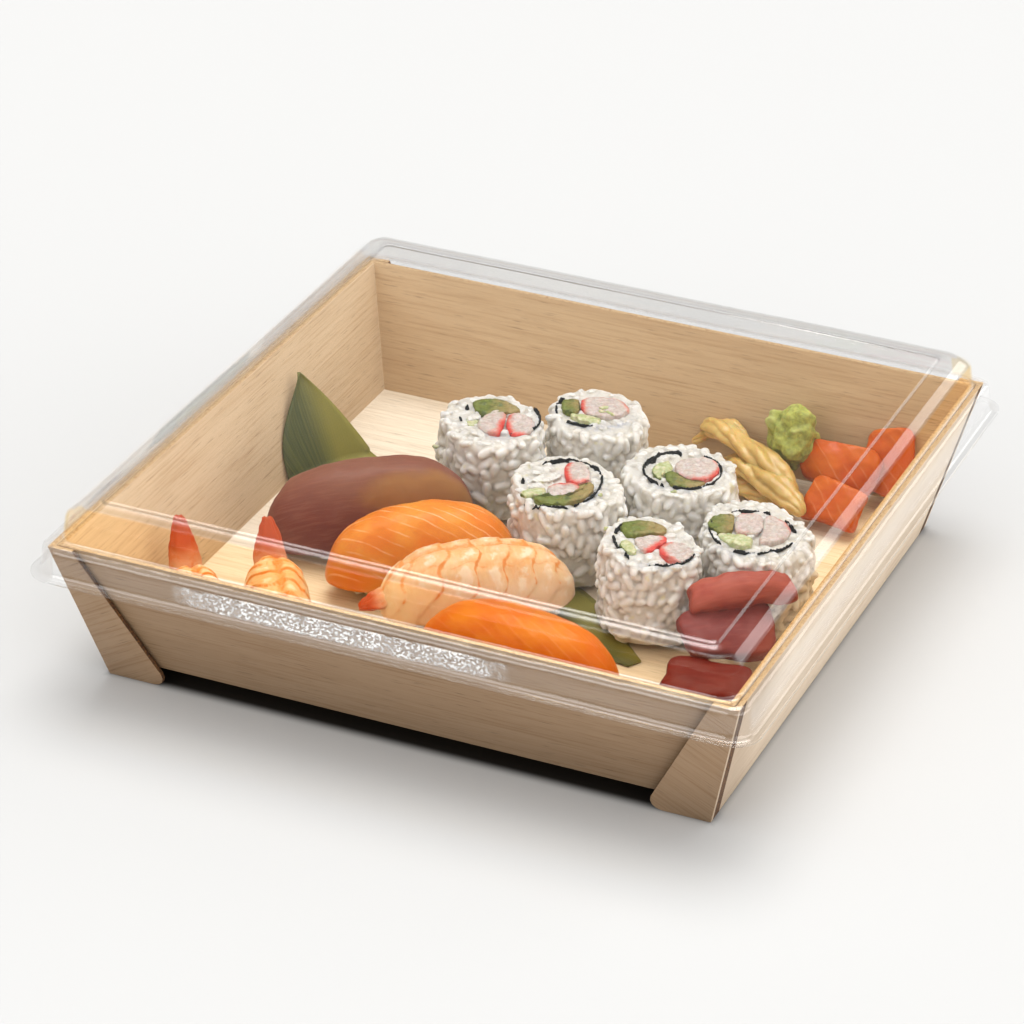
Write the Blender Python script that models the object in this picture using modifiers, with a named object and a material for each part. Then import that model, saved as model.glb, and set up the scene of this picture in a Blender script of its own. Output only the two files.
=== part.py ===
"""Takeaway sushi tray: a folded wood veneer tray, its clear press-on lid and the sushi in it.

The origin is on the ground under the middle of the tray. X runs along the front wall, Y from
the front wall to the back wall, Z up. Sizes are in metres.
"""
import math

import bmesh
import bpy
from mathutils import Matrix, Vector

MM = 0.001
GAP = 0.3 * MM

# Tray
RIM_X = 110.0 * MM            # half length of the rim, along the front wall
RIM_Y = 113.0 * MM            # half depth of the rim
RIM_Z = 49.0 * MM             # height of the rim
INSET_X = 11.8 * MM           # how far an end wall leans in, from the rim to the ground
INSET_Y = 14.7 * MM           # how far a long wall leans in
VENEER = 1.8 * MM
BASE_Z = 6.4 * MM             # underside of the raised base
FLOOR_Z = BASE_Z + VENEER
FLAP_TOP = 8.3 * MM           # width of a corner flap at the rim
FLAP_FOOT = 21.0 * MM         # and at the ground
FLAP_ROUND = 3.5 * MM         # rounding of the flap's lower corner

# Lid: its profile as distance in from the rim, height over the rim and corner radius
LID_WALL = 0.5 * MM
LID_STEPS = 4
LID_PROFILE = (
    (12.4, 12.4, 2.0),
    (11.4, 11.7, 2.5),
    (5.8, 11.7, 5.5),
    (2.7, 9.3, 6.0),
    (2.0, 1.2, 6.0),
    (-1.5, 0.9, 5.0),
    (-2.6, -0.6, 5.5),
    (-3.4, -8.0, 6.5),
    (-6.2, -8.5, 9.0),
)

# Rolls
ON_FLOOR = FLOOR_Z + GAP
ROLL_TALL = 29.0 * MM
ROLL_SIDES = 24
NORI_WALL = 0.8 * MM
FILLING_SIDES = 14

# Leaf and nigiri
LEAF_THICK = 0.6 * MM
ON_LEAF = FLOOR_Z + LEAF_THICK + 2 * GAP
DOME_SIDES = 16
DOME_RINGS = 5


def clear_scene():
    for thing in list(bpy.data.objects):
        bpy.data.objects.remove(thing, do_unlink=True)


def new_collection(name):
    collection = bpy.data.collections.new(name)
    bpy.context.scene.collection.children.link(collection)
    return collection


def material(name, colour, roughness, alpha=1.0):
    mat = bpy.data.materials.new(name)
    mat.use_nodes = True
    shader = mat.node_tree.nodes["Principled BSDF"]
    shader.inputs["Base Color"].default_value = (*colour, 1.0)
    shader.inputs["Roughness"].default_value = roughness
    shader.inputs["Metallic"].default_value = 0.0
    shader.inputs["Alpha"].default_value = alpha
    return mat


def add_mesh(name, mesh, mat, collection, smooth=True):
    obj = bpy.data.objects.new(name, mesh)
    if mat is not None:
        mesh.materials.append(mat)
    collection.objects.link(obj)
    if smooth:
        mesh.shade_smooth()
        mesh.set_sharp_from_angle(angle=math.radians(40))
    return obj


def mesh_from(name, form):
    bmesh.ops.recalc_face_normals(form, faces=form.faces)
    mesh = bpy.data.meshes.new(name)
    form.to_mesh(mesh)
    form.free()
    return mesh


def loft(loops, closed_ends=(True, True), wrap=False):
    """Joins loops of points, all with the same count, into one skin."""
    form = bmesh.new()
    rows = [[form.verts.new(point) for point in loop] for loop in loops]
    count = len(loops[0])
    pairs = list(zip(rows, rows[1:]))
    if wrap:
        pairs.append((rows[-1], rows[0]))
    for low, high in pairs:
        for i in range(count):
            j = (i + 1) % count
            form.faces.new((low[i], low[j], high[j], high[i]))
    if not wrap and closed_ends[0]:
        form.faces.new(list(reversed(rows[0])))
    if not wrap and closed_ends[1]:
        form.faces.new(rows[-1])
    return form


def boolean(obj, cutter, operation):
    step = obj.modifiers.new(operation.title(), "BOOLEAN")
    step.operation = operation
    step.solver = "EXACT"
    step.object = cutter
    return step


def hide_cutter(obj):
    obj.hide_render = True
    obj.display_type = "WIRE"


def outline_mesh(name, points, thickness):
    """A flat outline in XY, extruded evenly to both sides, as a welded mesh."""
    curve = bpy.data.curves.new(name + "_outline", "CURVE")
    curve.dimensions = "2D"
    curve.fill_mode = "BOTH"
    curve.extrude = thickness / 2
    spline = curve.splines.new("POLY")
    spline.points.add(len(points) - 1)
    for spot, (x, y) in zip(spline.points, points):
        spot.co = (x, y, 0, 1)
    spline.use_cyclic_u = True
    holder = bpy.data.objects.new(name + "_outline", curve)
    bpy.context.scene.collection.objects.link(holder)
    graph = bpy.context.evaluated_depsgraph_get()
    mesh = bpy.data.meshes.new_from_object(holder.evaluated_get(graph))
    bpy.data.objects.remove(holder, do_unlink=True)
    form = bmesh.new()
    form.from_mesh(mesh)
    bpy.data.meshes.remove(mesh)
    bmesh.ops.remove_doubles(form, verts=form.verts, dist=0.00001)
    return mesh_from(name, form)


# ---------------------------------------------------------------- tray

def half_size(rim, inset, height):
    """Half the width between two leaning walls at a height."""
    return rim - inset * (1 - height / RIM_Z)


def frustum(name, inward, low, high, collection, mat=None):
    """A block that follows the leaning walls, moved in from their outer faces."""
    form = bmesh.new()
    bmesh.ops.create_cube(form, size=2.0)
    for vert in form.verts:
        height = high if vert.co.z > 0 else low
        vert.co.x = math.copysign(half_size(RIM_X, INSET_X, height) - inward[0], vert.co.x)
        vert.co.y = math.copysign(half_size(RIM_Y, INSET_Y, height) - inward[1], vert.co.y)
        vert.co.z = height
    return add_mesh(name, mesh_from(name, form), mat, collection, smooth=False)


def flap_outline():
    """The end panel with its two flaps, seen square to the front wall, for the +X end."""
    foot_x = half_size(RIM_X, INSET_X, 0) - FLAP_FOOT
    rim_x = RIM_X - FLAP_TOP
    lean = math.atan2(RIM_Z, rim_x - foot_x)
    reach = FLAP_ROUND * math.tan((math.pi - lean) / 2)
    centre = Vector((foot_x + reach, FLAP_ROUND))
    start = -math.pi / 2
    turn = -(math.pi - lean)
    steps = 4
    points = [(RIM_X + 5 * MM, -1 * MM), (centre.x, -1 * MM)]
    for i in range(steps + 1):
        angle = start + turn * i / steps
        points.append((centre.x + FLAP_ROUND * math.cos(angle), centre.y + FLAP_ROUND * math.sin(angle)))
    top = RIM_Z + 1 * MM
    points.append((foot_x + (top / RIM_Z) * (rim_x - foot_x), top))
    points.append((RIM_X + 5 * MM, top))
    return points


def build_tray(collection, cutters, wood):
    shell = VENEER + GAP
    blank = frustum("tray_blank", (shell, shell), BASE_Z, RIM_Z, collection, wood)
    room = frustum("tray_room", (shell + VENEER, shell + VENEER), FLOOR_Z, RIM_Z * 1.2, cutters)
    hide_cutter(room)
    boolean(blank, room, "DIFFERENCE")

    inside = frustum("panel_inside", (VENEER, VENEER), -1 * MM, RIM_Z * 1.2, cutters)
    hide_cutter(inside)
    for side, name in ((-1, "end_panel_left"), (1, "end_panel_right")):
        panel = frustum(name, (0.0, 0.0), 0.0, RIM_Z, collection, wood)
        boolean(panel, inside, "DIFFERENCE")
        points = [(side * x, z) for x, z in flap_outline()]
        mesh = outline_mesh(name + "_reach", points, 2.4 * RIM_Y)
        mesh.transform(Matrix.Rotation(math.pi / 2, 4, "X"))
        reach = add_mesh(name + "_reach", mesh, None, cutters, smooth=False)
        hide_cutter(reach)
        boolean(panel, reach, "INTERSECT")


# ---------------------------------------------------------------- lid

def rounded_loop(half_x, half_y, height, radius, steps):
    loop = []
    for corner, (sx, sy) in enumerate(((1, 1), (-1, 1), (-1, -1), (1, -1))):
        for i in range(steps + 1):
            angle = math.pi / 2 * (corner + i / steps)
            x = sx * (half_x - radius) + radius * math.cos(angle)
            y = sy * (half_y - radius) + radius * math.sin(angle)
            loop.append(Vector((x, y, height)))
    return loop


def build_lid(collection, clear):
    loops = [
        rounded_loop(RIM_X - inward * MM, RIM_Y - inward * MM, RIM_Z + rise * MM, radius * MM, LID_STEPS)
        for inward, rise, radius in LID_PROFILE
    ]
    lid = add_mesh("lid", mesh_from("lid", loft(loops, closed_ends=(True, False))), clear, collection)
    wall = lid.modifiers.new("Wall", "SOLIDIFY")
    wall.thickness = LID_WALL
    wall.offset = 0.0
    wall.use_even_offset = True


# ---------------------------------------------------------------- leaf

LEAF_TIP = Vector((-101.0, 39.0, 40.0)) * MM
LEAF_KNEE = Vector((-87.5, 36.0, 0.0)) * MM      # where it meets the floor; its height is set below
LEAF_END = Vector((50.0, -38.0, 0.0)) * MM
LEAF_HALF = 17.0 * MM


def leaf_rows():
    """Centre, across direction and half width at each station, from the tip to the far end."""
    lying = FLOOR_Z + GAP + LEAF_THICK / 2
    knee = Vector((LEAF_KNEE.x, LEAF_KNEE.y, lying))
    end = Vector((LEAF_END.x, LEAF_END.y, lying))
    along = (end - knee).normalized()
    across = Vector((-along.y, along.x, 0))
    rows = []
    for part in (0.04, 0.25, 0.5, 0.75, 0.93):
        spot = LEAF_TIP.lerp(knee, part)
        spot.z += 1.2 * MM * math.sin(math.pi * part)
        rows.append((spot, across, LEAF_HALF * part ** 0.9))
    for part in (0.04, 0.2, 0.4, 0.6, 0.8, 0.93, 1.0):
        taper = 1 - 0.1 * part - 0.75 * max(0.0, part - 0.75) / 0.25
        rows.append((knee.lerp(end, part), across, LEAF_HALF * taper))
    return rows


def build_leaf(collection, green):
    form = bmesh.new()
    rows = []
    for spot, across, half in leaf_rows():
        rows.append([form.verts.new(spot + across * half * k) for k in (-1, -0.5, 0, 0.5, 1)])
    for near, far in zip(rows, rows[1:]):
        for i in range(4):
            form.faces.new((near[i], near[i + 1], far[i + 1], far[i]))
    leaf = add_mesh("leaf", mesh_from("leaf", form), green, collection)
    body = leaf.modifiers.new("Thickness", "SOLIDIFY")
    body.thickness = LEAF_THICK
    body.offset = 0.0


# ---------------------------------------------------------------- nigiri

def plan_radius(angle, half_long, half_wide, taper, square=2.5):
    """Reach of a rounded, tapering plan outline in one direction."""
    c, s = math.cos(angle), math.sin(angle)
    wide = half_wide * (1 - taper * c)
    return (abs(c / half_long) ** square + abs(s / wide) ** square) ** (-1 / square)


def dome_loops(half_long, half_wide, hem, top, taper, crown=3.2):
    """Loops from the hem of a dome to just round its top, all at their own heights."""
    loops = []
    for ring in range(DOME_RINGS):
        part = 1 - ring / DOME_RINGS
        rise = (1 - part ** crown) ** 0.5
        loop = []
        for i in range(DOME_SIDES):
            angle = 2 * math.pi * i / DOME_SIDES
            reach = plan_radius(angle, half_long, half_wide, taper) * part
            loop.append(Vector((reach * math.cos(angle), reach * math.sin(angle), hem + (top - hem) * rise)))
        loops.append(loop)
    return loops


def shift_loops(loops, place):
    return [[place @ point for point in loop] for loop in loops]


def topping_form(length, width, thick, hem, top, taper, place):
    """A slice draped over its rice: an outer and an inner dome joined at the hem."""
    outer = dome_loops(length / 2, width / 2, hem, top, taper)
    inner = dome_loops(length / 2 - thick, width / 2 - 0.45 * thick, hem, top - thick, taper)
    form = loft(shift_loops(outer[::-1] + inner, place), closed_ends=(True, True))
    return form


def pad_form(length, width, thick, hem, top, taper, foot, place):
    """The rice under a topping, a clear gap inside it, standing on its foot."""
    half_long = length / 2 - thick - 2 * GAP
    half_wide = width / 2 - 0.45 * thick - 2 * GAP
    upper = dome_loops(half_long, half_wide, hem, top - thick - 2 * GAP, taper)
    skirt = []
    for height, part in ((foot, 0.88), (foot + 0.35 * (hem - foot), 0.99)):
        skirt.append([Vector((point.x * part, point.y * part, height)) for point in upper[0]])
    return loft(shift_loops(skirt + upper, place), closed_ends=(True, True))


def tail_form(root, tip, across, root_wide, tip_wide, thick):
    """A shrimp's tail: a narrow root that opens into a flat fan."""
    along = tip - root
    face = along.cross(across).normalized()
    loops = []
    for part, wide, deep in ((0.0, 0.9, 1.1), (0.3, 0.75, 1.0), (0.6, 1.0, 0.8), (0.85, 1.1, 0.6), (1.0, 0.8, 0.35)):
        half = (root_wide * (1 - part) + tip_wide * part) * wide / 2
        loop = []
        for i in range(8):
            angle = 2 * math.pi * i / 8
            loop.append(root + along * part + across * half * math.cos(angle)
                        + face * thick * deep / 2 * math.sin(angle))
        loops.append(loop)
    return loft(loops)


# name, middle x and y, turn, length, width, thickness, hem, top, taper, foot, height of the tail
NIGIRI = (
    ("tuna", -53.5, -5.0, 31.0, 68.0, 26.5, 6.5, 13.0, 38.5, 0.04, ON_LEAF, None),
    ("salmon_a", -27.8, -23.0, 33.0, 61.0, 25.0, 6.0, 14.5, 36.5, -0.04, ON_LEAF, None),
    ("shrimp_a", -2.5, -37.5, 37.0, 62.0, 25.0, 4.5, 18.0, 36.0, 0.06, ON_LEAF, 2.0),
    ("salmon_b", 24.0, -68.5, 4.0, 64.0, 27.0, 6.0, 14.5, 36.0, 0.0, ON_FLOOR, None),
    ("shrimp_b", -53.0, -73.5, -57.0, 42.0, 21.0, 4.0, 17.0, 33.5, 0.0, ON_FLOOR, 22.0),
    ("shrimp_c", -77.0, -78.5, -47.0, 34.0, 19.0, 4.0, 15.0, 28.5, 0.0, ON_FLOOR, 24.0),
)


def build_nigiri(collection, cutters, mats):
    for name, x, y, turn, length, width, thick, hem, top, taper, foot, tail in NIGIRI:
        sizes = [value * MM for value in (length, width, thick, hem, top)]
        place = Matrix.Translation((x * MM, y * MM, 0)) @ Matrix.Rotation(math.radians(turn), 4, "Z")
        kind = name.split("_")[0]
        mesh = mesh_from(name + "_topping", topping_form(*sizes, taper, place))
        topping = add_mesh(name + "_topping", mesh, mats[kind], collection)
        pad = pad_form(*sizes, taper, foot, place)
        add_mesh(name + "_rice", mesh_from(name + "_rice", pad), mats["rice"], collection)
        if tail is None:
            continue
        root = place @ Vector(((3.4 - length / 2) * MM, 0, (hem + 4.5) * MM))
        tip = place @ Vector(((-length / 2 - 7.0) * MM, 0, (hem + tail) * MM))
        across = place.to_3x3() @ Vector((0, 1, 0))
        fan = tail_form(root, tip, across, 11 * MM, 7 * MM, 3.2 * MM)
        cutter = add_mesh(name + "_tail", mesh_from(name + "_tail", fan), None, cutters)
        hide_cutter(cutter)
        boolean(topping, cutter, "UNION")


# ---------------------------------------------------------------- rolls

# Each roll: middle of its nori; nori half sizes and turn; how far the rice is off the nori's
# middle; rice half sizes and turn; foot; then its fillings as kind, x, y, length, width, turn, bend.
ROLLS = {
    "a": ((-29.6, 41.5), (13.2, 12.6, 40), (-2.2, -2.2), (16.8, 20.2, 38), ON_LEAF, (
        ("avocado", -2.0, 6.6, 13.0, 4.4, -8, -1.6),
        ("crab_a", -0.6, -3.6, 13.0, 6.2, 97, 0.0),
        ("crab_b", 6.5, -2.4, 11.4, 6.2, 104, 0.0),
        ("cucumber", -7.6, -2.2, 8.6, 5.0, 100, 0.0),
    )),
    "b": ((-5.0, 61.5), (12.8, 12.0, 20), (1.6, -1.4), (16.4, 19.2, 30), ON_FLOOR, (
        ("avocado", -7.8, 0.8, 8.6, 4.2, 112, 0.0),
        ("crab_a", 1.8, 4.6, 14.0, 9.0, 14, 0.0),
        ("cucumber", -1.4, -5.0, 13.0, 4.8, 8, 0.0),
    )),
    "c": ((5.6, 8.4), (12.4, 16.2, 2), (1.4, 1.6), (17.8, 20.6, 38), ON_LEAF, (
        ("avocado", 3.6, -6.4, 16.0, 4.2, 52, -2.2),
        ("crab_a", 0.0, -2.6, 8.6, 5.0, 50, 0.0),
        ("crab_b", 2.0, 8.2, 13.0, 8.0, 112, 0.0),
        ("cucumber", -7.2, -5.4, 9.0, 3.8, 68, 0.0),
    )),
    "d": ((36.0, 34.8), (12.6, 12.2, 0), (-1.0, 0.6), (18.2, 19.6, 40), ON_FLOOR, (
        ("avocado", 2.6, -7.4, 12.2, 4.2, -8, 1.6),
        ("crab_a", 4.5, 1.6, 12.4, 9.6, 38, 0.0),
        ("cucumber", -6.8, 0.6, 8.0, 4.2, 80, 0.0),
    )),
    "e": ((46.0, -14.5), (14.8, 12.0, -40), (-1.4, 0.2), (15.6, 18.8, 38), ON_LEAF, (
        ("avocado", -6.4, 7.2, 13.6, 5.6, 22, -1.2),
        ("crab_a", -1.6, 0.4, 9.0, 4.8, 56, 0.0),
        ("crab_b", 7.0, -3.6, 11.6, 7.0, 128, 0.0),
        ("cucumber", -8.2, -4.6, 7.4, 3.4, 122, 0.0),
    )),
    "f": ((70.2, 6.4), (13.6, 13.2, -40), (0.8, 1.8), (16.8, 22.2, 40), ON_FLOOR, (
        ("avocado", -8.2, 2.2, 10.6, 6.4, 96, 0.0),
        ("crab_a", -1.0, 4.6, 13.6, 6.6, 100, 0.0),
        ("crab_b", 7.0, 2.4, 14.4, 7.0, 104, 0.0),
        ("cucumber", -1.6, -7.6, 12.2, 4.6, 4, 0.0),
    )),
}


def oval_reach(angle, half_x, half_y, turn):
    a = angle - math.radians(turn)
    return (abs(math.cos(a) / half_x) ** 2.2 + abs(math.sin(a) / half_y) ** 2.2) ** (-1 / 2.2)


def ring_loop(middle, reach, height):
    loop = []
    for i in range(ROLL_SIDES):
        angle = 2 * math.pi * i / ROLL_SIDES
        r = reach(angle)
        loop.append(Vector((middle[0] + r * math.cos(angle), middle[1] + r * math.sin(angle), height)))
    return loop


def filling_outline(length, width, bend):
    """A rounded block, bowed sideways by its bend."""
    points = []
    for i in range(FILLING_SIDES):
        angle = 2 * math.pi * (i + 0.5) / FILLING_SIDES
        c, s = math.cos(angle), math.sin(angle)
        x = math.copysign(abs(c) ** 0.7, c) * length / 2
        y = math.copysign(abs(s) ** 0.7, s) * width / 2
        points.append((x, y + bend * (2 * x / length) ** 2))
    return points


def build_roll(key, collection, mats):
    middle, nori, offset, rice, foot, fillings = ROLLS[key]
    nori_middle = (middle[0] * MM, middle[1] * MM)
    rice_middle = ((middle[0] + offset[0]) * MM, (middle[1] + offset[1]) * MM)
    top = foot + ROLL_TALL
    name = "roll_" + key

    def rice_reach(scale):
        def reach(angle):
            lump = 1 + 0.018 * math.sin(3 * angle + 7 * middle[0]) + 0.014 * math.sin(5 * angle + middle[1])
            return oval_reach(angle, rice[0] * MM, rice[1] * MM, rice[2]) * lump * scale
        return reach

    def nori_reach(inward):
        return lambda angle: oval_reach(angle, nori[0] * MM, nori[1] * MM, nori[2]) - inward

    sides = ((0.0, 0.965), (0.12, 1.0), (0.5, 1.02), (0.88, 1.0), (1.0, 0.95))
    loops = [ring_loop(rice_middle, rice_reach(scale), foot + ROLL_TALL * part) for part, scale in sides]
    loops.append(ring_loop(nori_middle, nori_reach(-GAP), top))
    loops.append(ring_loop(nori_middle, nori_reach(-GAP), foot))
    add_mesh(name + "_rice", mesh_from(name + "_rice", loft(loops, wrap=True)), mats["rice"], collection)

    wall = [
        ring_loop(nori_middle, nori_reach(0.0), foot),
        ring_loop(nori_middle, nori_reach(0.0), top),
        ring_loop(nori_middle, nori_reach(NORI_WALL), top),
        ring_loop(nori_middle, nori_reach(NORI_WALL), foot),
    ]
    add_mesh(name + "_nori", mesh_from(name + "_nori", loft(wall, wrap=True)), mats["nori"], collection)

    for kind, x, y, length, width, turn, bend in fillings:
        points = [(px * MM, py * MM) for px, py in filling_outline(length, width, bend)]
        mesh = outline_mesh(name + "_" + kind, points, ROLL_TALL)
        spot = Vector(((middle[0] + x) * MM, (middle[1] + y) * MM, (foot + top) / 2))
        mesh.transform(Matrix.Translation(spot) @ Matrix.Rotation(math.radians(turn), 4, "Z"))
        add_mesh(name + "_" + kind, mesh, mats[kind.split("_")[0]], collection)


# ---------------------------------------------------------------- ginger, wasabi and slices

def lump_form(half, power, bumps):
    """A rounded heap from a sphere, with a few broad bumps, standing on a flat foot."""
    form = bmesh.new()
    bmesh.ops.create_uvsphere(form, u_segments=18, v_segments=10, radius=1.0)
    for vert in form.verts:
        x, y, z = vert.co
        swell = 1 + bumps * (math.sin(4 * x + 2 * y) * math.cos(3 * y - z) + 0.5 * math.sin(5 * z + 3 * x))
        flat = math.copysign(abs(z) ** power, z)
        vert.co = Vector((x * half[0] * swell, y * half[1] * swell, max(flat, -0.9) * half[2]))
    return form


def place_lump(name, mat, middle, half, turn, power, bumps, collection):
    form = lump_form(half, power, bumps)
    low = min(vert.co.z for vert in form.verts)
    lift = FLOOR_Z + GAP - low
    bmesh.ops.transform(form, verts=form.verts, matrix=(
        Matrix.Translation((middle[0], middle[1], lift)) @ Matrix.Rotation(math.radians(turn), 4, "Z")))
    add_mesh(name, mesh_from(name, form), mat, collection)


# name, middle x, y, z, turn, tilt, length, slope length, thickness
SLICES = (
    ("salmon_slice_a", 72.5, 84.5, 19.5, -4.0, 52.0, 25.0, 22.0, 5.5),
    ("salmon_slice_b", 76.0, 70.5, 17.4, -12.0, 48.0, 22.0, 19.0, 5.5),
    ("salmon_slice_c", 85.0, 95.0, 21.0, 8.0, 62.0, 16.0, 21.0, 5.0),
    ("tuna_slice_a", 78.4, -24.3, 30.2, 39.0, 34.0, 34.0, 15.0, 6.0),
    ("tuna_slice_b", 77.5, -30.5, 15.5, 34.0, 20.0, 29.0, 18.0, 6.0),
    ("tuna_slice_c", 77.0, -50.0, 12.2, 12.0, 6.0, 26.0, 15.0, 6.0),
)


def build_slices(collection, mats):
    for name, x, y, z, turn, tilt, length, slope, thick in SLICES:
        points = [(px * MM, py * MM) for px, py in filling_outline(length, slope, 0.0)]
        mesh = outline_mesh(name, points, thick * MM)
        place = (Matrix.Translation((x * MM, y * MM, z * MM)) @ Matrix.Rotation(math.radians(turn), 4, "Z")
                 @ Matrix.Rotation(math.radians(tilt), 4, "X"))
        mesh.transform(place)
        add_mesh(name, mesh, mats[name.split("_")[0]], collection)


def main():
    clear_scene()
    parts = new_collection("sushi_tray")
    cutters = new_collection("cutters")
    mats = {
        "wood": material("poplar_veneer", (0.72, 0.58, 0.41), 0.6),
        "clear": material("clear_lid", (0.95, 0.96, 0.96), 0.06, alpha=0.25),
        "leaf": material("bamboo_leaf", (0.05, 0.13, 0.03), 0.5),
        "rice": material("rice", (0.82, 0.81, 0.74), 0.45),
        "nori": material("nori", (0.01, 0.012, 0.01), 0.5),
        "crab": material("crab_stick", (0.86, 0.74, 0.68), 0.45),
        "avocado": material("avocado", (0.22, 0.26, 0.05), 0.5),
        "cucumber": material("cucumber", (0.55, 0.62, 0.32), 0.4),
        "tuna": material("tuna", (0.25, 0.05, 0.04), 0.35),
        "salmon": material("salmon", (0.80, 0.24, 0.04), 0.35),
        "shrimp": material("cooked_shrimp", (0.86, 0.50, 0.25), 0.4),
        "ginger": material("pickled_ginger", (0.86, 0.68, 0.33), 0.4),
        "wasabi": material("wasabi", (0.42, 0.47, 0.10), 0.6),
    }
    build_tray(parts, cutters, mats["wood"])
    build_lid(parts, mats["clear"])
    build_leaf(parts, mats["leaf"])
    build_nigiri(parts, cutters, mats)
    for key in ROLLS:
        build_roll(key, parts, mats)
    place_lump("ginger", mats["ginger"], (40 * MM, 78.6 * MM), (20 * MM, 6.8 * MM, 8.5 * MM), -27, 0.8, 0.06, parts)
    place_lump("wasabi", mats["wasabi"], (49.5 * MM, 90 * MM), (9 * MM, 7.4 * MM, 15.5 * MM), 10, 0.9, 0.05, parts)
    build_slices(parts, mats)


main()
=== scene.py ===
"""Looks for the takeaway sushi tray: veneer, clear lid, rice, fish, leaf and garnish."""
import math

import bmesh
import bpy
import numpy as np
from bpy.props import FloatProperty, FloatVectorProperty, IntProperty, PointerProperty
from mathutils import Matrix, Vector, noise
from mathutils.geometry import delaunay_2d_cdt


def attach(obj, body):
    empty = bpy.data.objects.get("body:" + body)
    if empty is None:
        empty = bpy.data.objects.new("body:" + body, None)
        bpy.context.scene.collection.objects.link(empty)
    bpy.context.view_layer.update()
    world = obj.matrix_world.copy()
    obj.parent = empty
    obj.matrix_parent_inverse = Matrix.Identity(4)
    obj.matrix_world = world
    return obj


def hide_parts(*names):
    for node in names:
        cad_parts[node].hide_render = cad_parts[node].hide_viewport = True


bl_info = {
    "name": "Takeaway sushi tray",
    "version": (1, 0, 0),
    "blender": (4, 5, 0),
    "location": "3D View > Sidebar > Sushi tray",
    "description": "Builds a folded wood tray with a clear lid and the sushi in it",
    "category": "Add Mesh",
}

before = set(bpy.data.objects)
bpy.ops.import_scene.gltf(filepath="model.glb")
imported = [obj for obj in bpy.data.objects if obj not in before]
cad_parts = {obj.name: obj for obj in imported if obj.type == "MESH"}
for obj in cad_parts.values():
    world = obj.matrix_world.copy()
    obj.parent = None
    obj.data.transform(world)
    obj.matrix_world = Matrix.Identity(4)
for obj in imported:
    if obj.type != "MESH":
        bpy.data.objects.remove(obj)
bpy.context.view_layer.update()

MM = 0.001
RIM_X = 110.0
RIM_Y = 113.0
RIM_Z = 49.0
INSET_X = 11.8
INSET_Y = 14.7
FLOOR_Z = 8.2
LEAF_TOP = 9.1
TURN = 2 * math.pi


# ------------------------------------------------------------------ materials

def node(tree, kind, inputs=None, **settings):
    """Adds a shader node; an input may be a value or another node's output."""
    made = tree.nodes.new("ShaderNode" + kind)
    for key, value in settings.items():
        setattr(made, key, value)
    for key, value in (inputs or {}).items():
        socket = made.inputs[key]
        if isinstance(value, bpy.types.NodeSocket):
            tree.links.new(value, socket)
        else:
            socket.default_value = value
    return made


def new_material(name, roughness=0.5, **values):
    """A Principled material and what is needed to build on it."""
    mat = bpy.data.materials.new(name)
    mat.use_nodes = True
    tree = mat.node_tree
    shader = tree.nodes["Principled BSDF"]
    shader.inputs["Roughness"].default_value = roughness
    for key, value in values.items():
        shader.inputs[key.replace("_", " ")].default_value = value
    return mat, tree, shader


def rgba(colour):
    return (colour[0], colour[1], colour[2], 1.0)


def where(tree, scale=(1, 1, 1), turn=(0, 0, 0), source="Object"):
    """Object coordinates or the UV map, in millimetres, scaled and turned."""
    coords = node(tree, "TexCoord")
    size = [1000 * s for s in scale]
    return node(tree, "Mapping", {"Vector": coords.outputs[source], "Scale": size, "Rotation": turn}).outputs[0]


def attribute(tree, name):
    return node(tree, "Attribute", attribute_name=name).outputs["Fac"]


def grain(tree, vector, scale, detail=2.0, rough=0.5, distort=0.0):
    """A noise value from 0 to 1."""
    made = node(tree, "TexNoise", {"Vector": vector, "Scale": scale, "Detail": detail,
                                   "Roughness": rough, "Distortion": distort})
    return made.outputs["Fac"]


def maths(tree, operation, first, second=0.0, clamp=False):
    made = node(tree, "Math", {0: first, 1: second}, operation=operation)
    made.use_clamp = clamp
    return made.outputs[0]


def step(tree, value, low, high, out_low=0.0, out_high=1.0):
    """Smooth step of a value between two limits."""
    made = node(tree, "MapRange", {"Value": value, "From Min": low, "From Max": high,
                                   "To Min": out_low, "To Max": out_high}, interpolation_type="SMOOTHSTEP")
    return made.outputs["Result"]


def blend(tree, share, first, second, mode="MIX"):
    made = node(tree, "Mix", data_type="RGBA", blend_type=mode)
    for socket, value in ((made.inputs[0], share), (made.inputs[6], first), (made.inputs[7], second)):
        if isinstance(value, bpy.types.NodeSocket):
            tree.links.new(value, socket)
        elif isinstance(value, (int, float)):
            socket.default_value = value
        else:
            socket.default_value = rgba(value)
    return made.outputs[2]


def bump(tree, shader, height, distance, strength=1.0, after=None):
    inputs = {"Height": height, "Distance": distance * MM, "Strength": strength}
    if after is not None:
        inputs["Normal"] = after
    made = node(tree, "Bump", inputs)
    tree.links.new(made.outputs[0], shader.inputs["Normal"])
    return made.outputs[0]


def paint(tree, shader, colour):
    tree.links.new(colour, shader.inputs["Base Color"])


# ------------------------------------------------------------------ mesh helpers

def grid_faces(rows, columns, wrap=False):
    """Quads over a grid of rows by columns; wrap joins the last column to the first."""
    i = np.arange(rows - 1)[:, None]
    j = np.arange(columns if wrap else columns - 1)[None, :]
    k = (j + 1) % columns
    quads = np.stack([i * columns + j, i * columns + k, (i + 1) * columns + k, (i + 1) * columns + j], axis=-1)
    return quads.reshape(-1, 4).tolist()


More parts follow.
